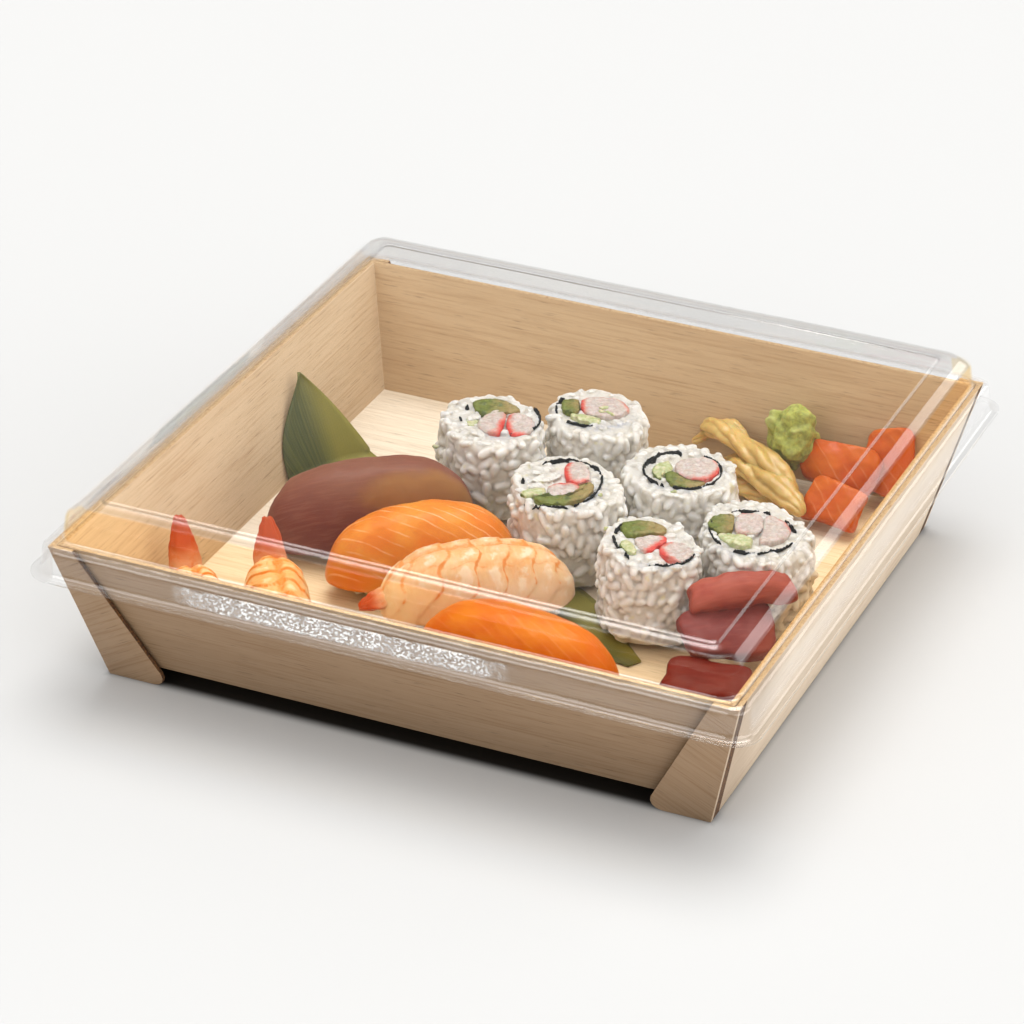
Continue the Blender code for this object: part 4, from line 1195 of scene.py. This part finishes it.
def salmon_material(orange, marbling=0.7):
    mat, tree, shader = new_material("salmon", 0.42, Subsurface_Weight=0.12, Subsurface_Scale=0.002)
    shader.inputs["Specular IOR Level"].default_value = 0.25
    uv = where(tree, source="UV")
    base = where(tree)
    lean = node(tree, "Mapping", {"Vector": uv, "Rotation": (0, 0, math.radians(-52))}).outputs[0]
    lines = node(tree, "TexWave", {"Vector": lean, "Scale": 0.082, "Distortion": 3.0, "Detail": 2.0,
                                   "Detail Scale": 0.35}, bands_direction="X", wave_profile="SIN")
    fade = grain(tree, uv, 0.09, 2.0, 0.5)
    rough = grain(tree, base, 1.1, 4.0, 0.7)
    thin = maths(tree, "ADD", lines.outputs["Fac"], maths(tree, "MULTIPLY", maths(tree, "SUBTRACT", rough, 0.5), 0.16))
    fat = maths(tree, "MULTIPLY", step(tree, thin, 0.90, 1.03), step(tree, fade, 0.38, 0.62), True)
    cloud = grain(tree, base, 0.09, 3.0, 0.5)
    pale = (min(1, orange[0] * 1.06), orange[1] * 1.45, orange[2] * 3.0)
    deep = (orange[0] * 0.92, orange[1] * 0.78, orange[2] * 0.6)
    colour = blend(tree, step(tree, cloud, 0.35, 0.7), orange, pale)
    colour = blend(tree, step(tree, rough, 0.42, 0.75, 0.0, 0.3), colour, deep)
    colour = blend(tree, maths(tree, "MULTIPLY", fat, marbling), colour, (0.86, 0.50, 0.24))
    paint(tree, shader, colour)
    wet = grain(tree, base, 0.5, 3.0, 0.6)
    tree.links.new(step(tree, wet, 0.3, 0.7, 0.34, 0.5), shader.inputs["Roughness"])
    bump(tree, shader, maths(tree, "ADD", lines.outputs["Fac"], rough), 0.10, 0.6)
    return mat


def tuna_material(name, red, tan=True):
    mat, tree, shader = new_material(name, 0.5, Subsurface_Weight=0.1, Subsurface_Scale=0.0015)
    shader.inputs["Specular IOR Level"].default_value = 0.2
    uv = where(tree, source="UV")
    base = where(tree)
    cloud = grain(tree, base, 0.055, 3.0, 0.5)
    fine = grain(tree, node(tree, "Mapping", {"Vector": uv, "Scale": (0.12, 1.0, 1)}).outputs[0], 0.9, 3.0, 0.6)
    height = node(tree, "SeparateXYZ", {0: base}).outputs[2]
    brown = (red[0] * 1.25, red[1] * 2.0, red[2] * 2.0)
    share = step(tree, cloud, 0.35, 0.68)
    if tan:
        share = maths(tree, "MULTIPLY", share, 0.5)
        share = maths(tree, "ADD", share, step(tree, height, 24.0, 36.0, 0.0, 0.6), True)
    colour = blend(tree, share, red, brown)
    colour = blend(tree, step(tree, fine, 0.45, 0.65, 0.0, 0.4), colour, tuple(1.25 * c for c in brown))
    if tan:
        spot = node(tree, "Mapping", {"Vector": uv, "Location": (-0.70, 1.50, 0), "Scale": (0.042, 0.10, 1)}).outputs[0]
        away = node(tree, "VectorMath", {0: spot}, operation="LENGTH").outputs["Value"]
        ragged = maths(tree, "ADD", away, maths(tree, "MULTIPLY", maths(tree, "SUBTRACT", cloud, 0.5), 1.2))
        colour = blend(tree, step(tree, ragged, 1.15, 0.55, 0.0, 0.85), colour, (0.33, 0.150, 0.040))
    paint(tree, shader, colour)
    bump(tree, shader, fine, 0.12, 0.4)
    return mat


def shrimp_material(flesh):
    mat, tree, shader = new_material("cooked_shrimp", 0.42, Subsurface_Weight=0.2, Subsurface_Scale=0.002)
    shader.inputs["Specular IOR Level"].default_value = 0.3
    base = where(tree)
    ragged = grain(tree, base, 0.45, 4.0, 0.65)
    fibre = grain(tree, node(tree, "Mapping", {"Vector": where(tree, source="UV"), "Scale": (1.0, 0.25, 1)}).outputs[0],
                  0.8, 3.0, 0.6)
    blush = grain(tree, base, 0.10, 3.0, 0.55)
    colour = blend(tree, step(tree, blush, 0.40, 0.62, 0.0, 0.7), flesh, (0.76, 0.37, 0.12))
    colour = blend(tree, step(tree, fibre, 0.45, 0.75, 0.0, 0.35), colour, (0.80, 0.60, 0.38))
    pale = maths(tree, "ADD", attribute(tree, "pale"), maths(tree, "MULTIPLY", maths(tree, "SUBTRACT", ragged, 0.5), 1.7))
    colour = blend(tree, step(tree, pale, 0.30, 0.75, 0.0, 0.9), colour, (0.80, 0.62, 0.41))
    low = node(tree, "SeparateXYZ", {0: base}).outputs[2]
    colour = blend(tree, step(tree, low, 33.0, 22.0, 0.0, 0.55), colour, (0.82, 0.66, 0.48))
    share = maths(tree, "ADD", attribute(tree, "band"), maths(tree, "MULTIPLY", maths(tree, "SUBTRACT", ragged, 0.5), 1.6))
    colour = blend(tree, step(tree, share, 0.30, 0.85, 0.0, 0.9), colour, (0.72, 0.235, 0.030))
    colour = blend(tree, attribute(tree, "tail"), colour, (0.46, 0.062, 0.004))
    paint(tree, shader, colour)
    bump(tree, shader, maths(tree, "ADD", fibre, ragged), 0.22, 0.6)
    return mat


def topping(name, kind, mat, index):
    """The slice over the rice, from the dome, with its own edges, sag and surface."""
    x, y, turn, length, width, thick, hem, top, taper, _, tail = NIGIRI[name]
    sides, rings = (260, 44) if kind == "shrimp" else (140, 30)
    outer = dome(length / 2, width / 2, hem, top, taper, rings, sides)
    inner = dome(length / 2 - thick, width / 2 - 0.45 * thick, hem, top - thick, taper, 6, sides)
    under = [0.5 * (outer[0] + inner[0]) - np.array((0, 0, 0.9)), outer[0] * (0.99, 0.985, 1) - np.array((0, 0, 0.55))]
    rows = inner[::-1] + under + outer
    points = np.concatenate(rows)
    shape = len(rows), sides
    drop = np.clip(top - points[:, 2], 0, 30)
    uv = np.column_stack([points[:, 0], points[:, 1] + 0.8 * np.sign(points[:, 1]) * drop]) * MM
    flat = points[:, 0] / (length / 2)
    high = np.clip((points[:, 2] - hem) / (top - hem), 0, 1)
    band, pale = np.zeros(len(points)), np.zeros(len(points))
    skin = np.repeat(np.arange(len(rows)) >= len(inner), sides)
    if kind == "shrimp":
        # overlapping shells: each swells towards its edge and drops to the next
        fold = uv[:, 1] / MM
        odd = swell(points, 11.0, 5.0 + index)
        place = points[:, 0] * (1 + 0.006 * points[:, 0]) + 0.012 * fold ** 2 + 1.2 * np.sin(0.45 * fold) + 1.5 * odd
        place = place / (0.155 * length)
        frac = place - np.floor(place)
        edge = np.exp(-((frac - 0.96) / 0.055) ** 2) + np.exp(-((frac + 0.04) / 0.055) ** 2)
        swelling = (0.25 + 0.75 * np.clip(frac, 0, 1) ** 1.3) * np.clip((1 - frac) / 0.07, 0, 1)
        out = np.where(skin, 1.0 * swelling, 0)
        points[:, 2] += out * high
        points[:, 1] += out * np.sign(points[:, 1]) * (1 - high)
        seam = np.exp(-((points[:, 1] - 1.0) / 1.1) ** 2)
        points[:, 2] -= np.where(skin, 1.0 * seam * high, 0)
        fade = np.clip(1.5 * high - 0.15, 0, 1)
        band = 0.9 * edge * (0.45 + 0.55 * fade) + 0.7 * np.exp(-((points[:, 1] - 1.0) / 2.0) ** 2) * high
        # each shell shows two pale lobes a side, the upper and the lower one
        parting = 9.0 + 1.6 * odd + 1.2 * np.sin(TURN * frac)
        tier = np.where(np.abs(fold) < parting, np.abs(fold) / parting, (np.abs(fold) - parting) / 13.0)
        band += 0.55 * np.exp(-((np.abs(fold) - parting) / 0.7) ** 2)
        band = np.clip(band * skin, 0, 1)
        uneven = np.clip(0.65 + 0.9 * swell(points, 5.0, 31.0 + index), 0, 1)
        pale = np.exp(-((frac - 0.58) / 0.27) ** 2) * np.clip(4 * tier * (1 - tier), 0, 1) * skin * uneven
        points[:, 2] += 0.35 * pale * high
        points[:, 1] += 0.45 * pale * np.sign(points[:, 1]) * (1 - high)
        # the head end runs out to a low point
        nose = np.clip((flat - 0.62) / 0.38, 0, 1)
        points[:, 2] -= 4.5 * nose ** 1.5 * high * skin
        points[:, 1] *= 1 - 0.30 * nose ** 2
    else:
        points[:, 2] += np.where(skin, 0.5 * np.sin(points[:, 0] / 9.0 + index) * high, 0)
    bend = 0.9 * np.sin(flat * 1.7 + index)
    points[:, 1] += bend
    points += wobble(points, 0.55, 11.0, 4.0 + index) * skin[:, None]
    points += wobble(points, 0.14, 2.6, 8.0 + index) * skin[:, None]
    faces = grid_faces(shape[0], sides, wrap=True)
    faces.append(list(range(sides - 1, -1, -1)))
    first = (shape[0] - 1) * sides
    faces.append(list(range(first, first + sides)))
    points = placed(points, x, y, turn)
    values = {"band": band, "tail": np.zeros(len(points)), "pale": pale}
    obj = make_piece(name + "_slice", points, faces, mat, uv=uv, values=values)
    if tail is not None:
        fan = tail_piece(name, x, y, turn, length, hem, tail, mat)
        join([obj, fan])
    return obj


def tail_piece(name, x, y, turn, length, hem, rise, mat):
    """The two-lobed tail fan that a shrimp nigiri keeps."""
    rows, uv = [], []
    along, around = 20, 28
    for i in range(along):
        t = i / (along - 1)
        tip = math.sqrt(max(0.0, 1 - (max(0.0, t - 0.72) / 0.29) ** 2))
        wide = (5.2 - 3.4 * t + 0.9 * math.sin(math.pi * min(1, t * 1.3))) * (0.12 + 0.88 * tip)
        deep = 2.4 * (1 - t) ** 0.7 + 0.55
        px = -length / 2 + 3.4 - (10.4) * t
        pz = hem + 4.5 + (rise - 4.5) * t
        lean = math.atan2(rise - 4.5, 10.4)
        for j in range(around):
            a = TURN * j / around
            ridge = 1 + 0.16 * math.cos(6 * a) * t
            off_y = wide * math.cos(a) * ridge
            off_n = deep * math.sin(a) * ridge
            notch = 0.9 * math.exp(-(off_y / 1.1) ** 2) * t
            rows.append((px + off_n * math.sin(lean) + notch, off_y, pz + off_n * math.cos(lean) - notch))
            uv.append((t * 0.01, j * 0.001))
    faces = grid_faces(along, around, wrap=True)
    faces.append(list(range(around - 1, -1, -1)))
    faces.append(list(range((along - 1) * around, along * around)))
    points = placed(np.array(rows), x, y, turn)
    points += wobble(points, 0.35, 2.4, 21.0)
    amount = np.clip(np.repeat(np.linspace(0, 1, along), around) * 1.8, 0, 1)
    return make_piece(name + "_fan", points, faces, mat, uv=uv,
                      values={"band": np.full(len(rows), 0.4), "tail": amount, "pale": 0 * amount})


def join(objects):
    """Joins meshes into the first, keeping their maps and attributes."""
    with bpy.context.temp_override(active_object=objects[0], selected_editable_objects=objects,
                                   selected_objects=objects, object=objects[0]):
        bpy.ops.object.join()


def nigiri_pad(name, props, index):
    x, y, turn, length, width, thick, hem, top, taper, foot, _ = NIGIRI[name]
    half_long, half_wide = length / 2 - thick - 1.4, width / 2 - 0.45 * thick - 1.4
    sides = 64
    upper = dome(half_long, half_wide, hem, top - thick - 1.8, taper, 8, sides)
    skirt = [upper[0] * (part, part, 0) + np.array((0, 0, height)) for height, part in
             ((foot + 1.0, 0.86), (foot + 0.3 * (hem - foot), 0.97), (foot + 0.65 * (hem - foot), 1.0))]
    rows = skirt + upper
    points = np.concatenate(rows)
    weight = np.repeat([1.0 if i < len(skirt) + 3 else 0.0 for i in range(len(rows))], sides)
    points += wobble(points, 0.8, 6.0, 40 + index)
    faces = grid_faces(len(rows), sides, wrap=True)
    faces.append(list(range(sides - 1, -1, -1)))
    first = (len(rows) - 1) * sides
    faces.append(list(range(first, first + sides)))
    core = make_piece("rice_" + name, placed(points, x, y, turn), faces, rice_mat(), values={"grains": weight})
    cover_with_rice(core, props, 100 + 7 * index, props.hidden)
    for spare in ("stain", "flat", "relief"):
        core.data.attributes.new(spare, "FLOAT", "POINT")
    return finish_piece(core, "rice", name + "_rice")


def build_nigiri(props, rice):
    mats = {"tuna": tuna_material("tuna", tuple(props.tuna)), "salmon": salmon_material(tuple(props.salmon)),
            "shrimp": shrimp_material(tuple(props.shrimp))}
    orange = tuple(props.salmon)
    # painted shade: the front nigiri's salmon is a darker, deeper and less marbled copy of the salmon, for the nigiri
    # behind the lid's front wall
    deeper = salmon_material((0.84 * orange[0], 0.70 * orange[1], 0.1 * orange[2]), 0.15)
    deeper.name = "salmon_front"
    for index, name in enumerate(NIGIRI):
        kind = name.split("_")[0]
        nigiri_pad(name, rice, index)
        mat = deeper if name == "salmon_b" else mats[kind]
        finish_piece(topping(name, kind, mat, index), kind, name + "_topping")


# ------------------------------------------------------------------ ginger, wasabi and slices

class GarnishProps(bpy.types.PropertyGroup):
    ginger: FloatVectorProperty(name="Ginger", description="Colour of the pickled ginger", subtype="COLOR",
                                default=(0.54, 0.335, 0.080), min=0, max=1)
    wasabi: FloatVectorProperty(name="Wasabi", description="Colour of the wasabi", subtype="COLOR",
                                default=(0.37, 0.39, 0.075), min=0, max=1)


# path points (x, y, z), width, depth, seed
GINGER = (
    (((20, 100, 19), (28, 93.5, 22), (38, 86, 22.5), (50, 79, 21), (62, 71.5, 17.5)), 10.0, 7.5, 1.0),
    (((35, 81, 16), (42, 78, 18.5), (50, 73.5, 18.5), (59, 69, 17.5), (68, 62, 15)), 10.0, 7.5, 2.0),
    (((17, 96, 14), (26, 97, 21), (33, 94, 23), (40, 87, 20)), 6.5, 5.0, 3.0),
    (((24, 88, 13), (36, 82, 13), (50, 75, 13), (64, 67, 12.5)), 14.0, 6.5, 4.0),
    (((30, 92, 13), (44, 86, 14), (58, 78, 14)), 12.0, 7.0, 5.0),
)


def ginger_material(colour):
    mat, tree, shader = new_material("pickled_ginger", 0.32, Subsurface_Weight=0.35, Subsurface_Scale=0.002)
    uv = where(tree, source="UV")
    fibre = grain(tree, node(tree, "Mapping", {"Vector": uv, "Scale": (0.12, 1.0, 1)}).outputs[0], 0.9, 3.0, 0.6)
    base = where(tree)
    cloud = grain(tree, base, 0.15, 2.0, 0.5)
    pale = (min(1, colour[0] * 1.22), min(1, colour[1] * 1.3), min(1, colour[2] * 1.7))
    tone = blend(tree, step(tree, cloud, 0.35, 0.65), colour, pale)
    tone = blend(tree, step(tree, fibre, 0.5, 0.8, 0.0, 0.4), tone, (0.72, 0.54, 0.26))
    paint(tree, shader, tone)
    bump(tree, shader, fibre, 0.2, 0.5)
    return mat


def spline(points, count):
    """Smooth points through a short path."""
    points = np.array(points, float)
    padded = np.vstack([2 * points[0] - points[1], points, 2 * points[-1] - points[-2]])
    out = []
    for t in np.linspace(0, len(points) - 1 - 1e-6, count):
        i = int(t)
        f = t - i
        p = padded[i:i + 4]
        out.append(0.5 * (2 * p[1] + (p[2] - p[0]) * f + (2 * p[0] - 5 * p[1] + 4 * p[2] - p[3]) * f ** 2
                          + (3 * p[1] - p[0] - 3 * p[2] + p[3]) * f ** 3))
    return np.array(out)


def ginger_strip(spec, index, mat):
    """A crumpled slice rolled up loosely along its path, plump, with creases along and across it."""
    path, width, depth, seed = spec
    count, around = 70, 44
    line = spline(path, count)
    points, uv = [], []
    for i, spot in enumerate(line):
        ahead = line[min(i + 1, count - 1)] - line[max(i - 1, 0)]
        ahead /= np.linalg.norm(ahead)
        side = np.cross((0, 0, 1), ahead)
        side /= np.linalg.norm(side)
        up = np.cross(ahead, side)
        t = i / (count - 1)
        closed = (1 - abs(2 * t - 1) ** 5) ** 0.5 + 0.02
        spread = closed * (0.86 + 0.14 * math.sin(9 * t + seed))
        for j in range(around):
            a = TURN * j / around
            # folds that run along the slice and wander round it
            crease = abs(math.sin(2.5 * a + 2.6 * math.sin(4 * t + seed) + seed)) ** 0.6
            across = abs(math.sin(15 * t + 1.6 * math.sin(a + seed)))
            reach = spread * (0.72 + 0.32 * crease + 0.045 * across)
            points.append(spot + side * 0.5 * width * reach * math.cos(a) + up * 0.5 * depth * reach * math.sin(a))
            uv.append((t * 0.04, j / around * 0.02))
    points = np.array(points)
    points += wobble(points, 0.6, 6.0, seed) + wobble(points, 0.2, 2.2, seed + 4)
    points[:, 2] = np.maximum(points[:, 2], 9.2)
    faces = grid_faces(count, around, wrap=True)
    faces.append(list(range(around - 1, -1, -1)))
    faces.append(list(range((count - 1) * around, count * around)))
    return make_piece("ginger_%d" % index, points, faces, mat, uv=uv)


def lump(name, middle, half, mat, seed, foot, sizes):
    """A rounded lump with layers of noise, from a fine sphere of quads."""
    form = bmesh.new()
    bmesh.ops.create_icosphere(form, subdivisions=6, radius=1.0)
    points = np.array([v.co[:] for v in form.verts])
    faces = [[v.index for v in f.verts] for f in form.faces]
    form.free()
    way = points.copy()
    points = points * np.array(half)
    out = np.zeros(len(points))
    for scale, amount in sizes:
        out += amount * swell(points, scale, seed + scale)
    points += way * out[:, None]
    points += np.array(middle)
    points[:, 2] = np.maximum(points[:, 2], foot)
    return make_piece(name, points, faces, mat)


def wasabi_material(colour):
    mat, tree, shader = new_material("wasabi", 0.62, Subsurface_Weight=0.2, Subsurface_Scale=0.0015)
    base = where(tree)
    paste = grain(tree, base, 0.5, 5.0, 0.7)
    cloud = grain(tree, base, 0.12, 2.0, 0.5)
    tone = blend(tree, step(tree, paste, 0.3, 0.72), tuple(0.7 * c for c in colour), tuple(min(1, 1.35 * c) for c in colour))
    tone = blend(tree, step(tree, cloud, 0.45, 0.75, 0.0, 0.4), tone, (0.50, 0.52, 0.22))
    paint(tree, shader, tone)
    bump(tree, shader, paste, 0.5, 0.9)
    return mat


# x, y, z, turn, tilt, length, slope length, thickness, bend
SLICES = {
    "salmon_slice_a": (71.0, 85.5, 23.0, -4.0, 50.0, 26.0, 14.5, 5.5, 3.2),
    "salmon_slice_b": (75.0, 70.0, 17.5, -14.0, 44.0, 20.5, 15.0, 5.5, 1.8),
    "salmon_slice_c": (85.0, 95.5, 22.5, 8.0, 62.0, 15.0, 21.0, 5.0, 1.2),
    "tuna_slice_a": (77.5, -19.5, 33.0, 39.0, 34.0, 34.0, 10.5, 6.0, 4.2),
    "tuna_slice_b": (76.5, -29.0, 22.5, 36.0, 24.0, 28.0, 19.0, 6.0, 1.4),
    "tuna_slice_c": (77.0, -47.5, 14.0, 14.0, 10.0, 27.0, 18.0, 6.0, 0.8),
}
# each tuna slice's colour: the fish's own tone with painted shade, darker for the slices lower in the pile
TUNA_TONES = {"tuna_slice_a": (0.31, 0.044, 0.026), "tuna_slice_b": (0.172, 0.020, 0.014),
              "tuna_slice_c": (0.120, 0.004, 0.0005)}


def fish_slice(name, mat, seed):
    """A thick slice with flat faces and softly rounded, uneven edges, bowed along its length."""
    x, y, z, turn, tilt, length, slope, thick, bow = SLICES[name]
    form = bmesh.new()
    bmesh.ops.create_cube(form, size=2.0)
    bmesh.ops.subdivide_edges(form, edges=form.edges, cuts=25, use_grid_fill=True)
    cube = np.array([v.co[:] for v in form.verts])
    faces = [[v.index for v in f.verts] for f in form.faces]
    form.free()
    power = 6.0
    size = (np.abs(cube) ** power).sum(axis=1) ** (1 / power)
    ball = cube / size[:, None]
    points = ball * np.array((length / 2, slope / 2, thick / 2))
    points[:, 1] *= 1 + 0.10 * np.sin(2.2 * ball[:, 0] + seed)
    points[:, 0] *= 1 + 0.05 * np.sin(2.0 * ball[:, 1] + seed)
    uv = points[:, :2] * MM
    points[:, 2] -= bow * ball[:, 0] ** 2 + 0.5 * bow * ball[:, 1] ** 2
    points += wobble(points, 0.8, 9.0, seed)
    points += wobble(points, 0.22, 2.5, seed + 3)
    return make_piece(name + "_cut", placed(points, x, y, turn, z, tilt), faces, mat, uv=uv)


def build_garnish(props, fish):
    mat = ginger_material(tuple(props.ginger))
    strips = [ginger_strip(spec, i, mat) for i, spec in enumerate(GINGER)]
    join(strips)
    strips[0].name = "ginger_slices"
    finish_piece(strips[0], "ginger", "ginger")
    paste = lump("wasabi_lump", (54.0, 90.5, 27.0), (8.8, 7.6, 10.8), wasabi_material(tuple(props.wasabi)), 5.0, 12.0,
                 ((9.0, 3.2), (4.5, 2.2), (2.2, 0.9), (1.0, 0.22)))
    finish_piece(paste, "wasabi", "wasabi")
    orange = tuple(fish.salmon)
    salmon = salmon_material((0.80 * orange[0], 0.48 * orange[1], 0.05 * orange[2]), 0.2)
    salmon.name = "salmon_cut"
    for i, name in enumerate(SLICES):
        kind = name.split("_")[0]
        mat = salmon if kind == "salmon" else tuna_material(name + "_flesh", TUNA_TONES[name], tan=False)
        piece = fish_slice(name, mat, 3.0 * i + 1)
        finish_piece(piece, kind, name)


# ------------------------------------------------------------------ stage

class StageProps(bpy.types.PropertyGroup):
    floor: FloatProperty(name="Floor", description="How pale the floor is", default=0.48, min=0, max=1)
    key: FloatProperty(name="Overhead light", description="Strength of the soft light from above",
                       default=6.3, min=0, max=50)
    fill: FloatProperty(name="Fill light", description="Strength of the light from all round above",
                        default=1.3, min=0, max=5)


def build_stage(props):
    scene = bpy.context.scene
    scene.view_settings.view_transform = "Standard"
    scene.view_settings.look = "None"
    world = bpy.data.worlds.new("studio")
    scene.world = world
    world.use_nodes = True
    tree = world.node_tree
    way = node(tree, "TexCoord").outputs["Generated"]
    parts = node(tree, "SeparateXYZ", {0: way})
    key_way = Vector((-0.10, 0.34, 0.93)).normalized()
    toward = node(tree, "VectorMath", {0: way, 1: tuple(key_way)}, operation="DOT_PRODUCT").outputs["Value"]
    lamp = maths(tree, "MULTIPLY", step(tree, toward, 0.915, 0.965), props.key)
    behind = maths(tree, "MULTIPLY", step(tree, parts.outputs[1], 0.0, 0.35), step(tree, parts.outputs[2], 0.80, 0.60))
    dome_light = maths(tree, "MULTIPLY", step(tree, parts.outputs[2], 0.10, 0.45), props.fill)
    dome_light = maths(tree, "MULTIPLY", dome_light, maths(tree, "SUBTRACT", 1.0, behind))
    right = maths(tree, "MULTIPLY", step(tree, parts.outputs[0], 0.40, 0.95), step(tree, parts.outputs[2], 0.70, 0.1), True)
    rear = maths(tree, "MULTIPLY", step(tree, parts.outputs[1], -0.2, 0.6), 0.11)
    light = maths(tree, "ADD", lamp, dome_light)
    # a soft panel behind on the right, which the lid's right shoulder mirrors
    panel = node(tree, "VectorMath", {0: way, 1: (0.386, 0.81, 0.441)}, operation="DOT_PRODUCT").outputs["Value"]
    light = maths(tree, "ADD", light, maths(tree, "MULTIPLY", step(tree, panel, 0.955, 0.985), 2.2))
    light = maths(tree, "ADD", light, maths(tree, "MULTIPLY", right, 3.2))
    # and a low one in front on the left, which opens up the sides and sparkles on the stipple
    front = node(tree, "VectorMath", {0: way, 1: (-0.34, -0.885, 0.315)}, operation="DOT_PRODUCT").outputs["Value"]
    light = maths(tree, "ADD", light, maths(tree, "MULTIPLY", step(tree, front, 0.950, 0.980), 2.6))
    light = maths(tree, "ADD", maths(tree, "ADD", light, rear), 0.05)
    back = tree.nodes["Background"]
    tree.links.new(light, back.inputs["Strength"])
    back.inputs["Color"].default_value = (1.0, 0.995, 0.985, 1)

    mat, floor_tree, shader = new_material("studio_floor", 0.8)
    shader.inputs["Specular IOR Level"].default_value = 0.1
    pale = props.floor
    across, place = node(floor_tree, "SeparateXYZ", {0: where(floor_tree)}).outputs[:2]
    # the floor is lit less towards the viewer, so it throws little light on the front
    near = step(floor_tree, place, -330.0, -420.0)
    seen = node(floor_tree, "LightPath").outputs["Is Camera Ray"]
    dim = maths(floor_tree, "MULTIPLY", near, maths(floor_tree, "SUBTRACT", 1.0, seen))
    tone = blend(floor_tree, dim, (pale, pale, pale * 0.995), (0.03, 0.03, 0.03))
    # next to no light gets under the raised base
    away = maths(floor_tree, "MAXIMUM", maths(floor_tree, "ABSOLUTE", place), maths(floor_tree, "ABSOLUTE", across))
    paint(floor_tree, shader, blend(floor_tree, step(floor_tree, away, 100.5, 95.0), tone, (0.012, 0.010, 0.008)))
    span = 6000.0
    corners = [(-span, -span, 0), (span, -span, 0), (span, span, 0), (-span, span, 0)]
    ground = make_piece("studio_ground", corners, [[0, 1, 2, 3]], mat)

    lens = bpy.data.cameras.new("studio_camera")
    lens.lens = 146.02
    lens.sensor_width = 36.0
    lens.clip_end = 20.0
    camera = bpy.data.objects.new("studio_camera", lens)
    scene.collection.objects.link(camera)
    camera.matrix_world = Matrix((
        (0.91832605, -0.20710717, 0.33731867, 0.432035),
        (0.39521774, 0.43257938, -0.81035672, -1.055745),
        (0.02191359, 0.87748601, 0.47910134, 0.653299),
        (0, 0, 0, 1)))
    scene.camera = camera


# ------------------------------------------------------------------ operators and panel

def operator(idname, label, doc, run):
    """An operator class for one group of pieces."""
    def execute(self, context):
        run(context.scene)
        return {"FINISHED"}
    return type("SUSHI_OT_" + idname, (bpy.types.Operator,), {
        "bl_idname": "sushi." + idname, "bl_label": label, "__doc__": doc, "execute": execute})


OPERATORS = (
    operator("tray", "Tray", "Builds the folded wood tray", lambda s: build_tray(s.sushi_tray)),
    operator("lid", "Lid", "Builds the clear lid", lambda s: build_lid(s.sushi_lid)),
    operator("leaf", "Leaf", "Builds the bamboo leaf", lambda s: build_leaf(s.sushi_leaf)),
    operator("rolls", "Rolls", "Builds the six rolls", lambda s: build_rolls(s.sushi_rolls, s.sushi_rice)),
    operator("nigiri", "Nigiri", "Builds the nigiri", lambda s: build_nigiri(s.sushi_nigiri, s.sushi_rice)),
    operator("garnish", "Garnish", "Builds the ginger, the wasabi and the fish slices",
             lambda s: build_garnish(s.sushi_garnish, s.sushi_nigiri)),
    operator("stage", "Stage", "Builds the floor, light and camera", lambda s: build_stage(s.sushi_stage)),
)
GROUPS = (("sushi_tray", TrayProps), ("sushi_lid", LidProps), ("sushi_leaf", LeafProps), ("sushi_rice", RiceProps),
          ("sushi_rolls", RollProps), ("sushi_nigiri", NigiriProps), ("sushi_garnish", GarnishProps),
          ("sushi_stage", StageProps))


class SUSHI_PT_panel(bpy.types.Panel):
    """Lists the builders and their values"""
    bl_label = "Sushi tray"
    bl_space_type = "VIEW_3D"
    bl_region_type = "UI"
    bl_category = "Sushi tray"

    def draw(self, context):
        for name, group in GROUPS:
            box = self.layout.box()
            values = getattr(context.scene, name)
            for key in group.__annotations__:
                box.prop(values, key)
        for made in OPERATORS:
            self.layout.operator(made.bl_idname)


def register():
    for name, group in GROUPS:
        bpy.utils.register_class(group)
        setattr(bpy.types.Scene, name, PointerProperty(type=group))
    for made in OPERATORS:
        bpy.utils.register_class(made)
    bpy.utils.register_class(SUSHI_PT_panel)


def unregister():
    bpy.utils.unregister_class(SUSHI_PT_panel)
    for made in reversed(OPERATORS):
        bpy.utils.unregister_class(made)
    for name, group in reversed(GROUPS):
        delattr(bpy.types.Scene, name)
        bpy.utils.unregister_class(group)


def main():
    register()
    for name in ("stage", "tray", "lid", "leaf", "rolls", "nigiri", "garnish"):
        getattr(bpy.ops.sushi, name)()
    shape = bpy.data.objects.get("rice_grain_shape")
    if shape is not None:
        bpy.data.objects.remove(shape)


if __name__ == "__main__":
    main()
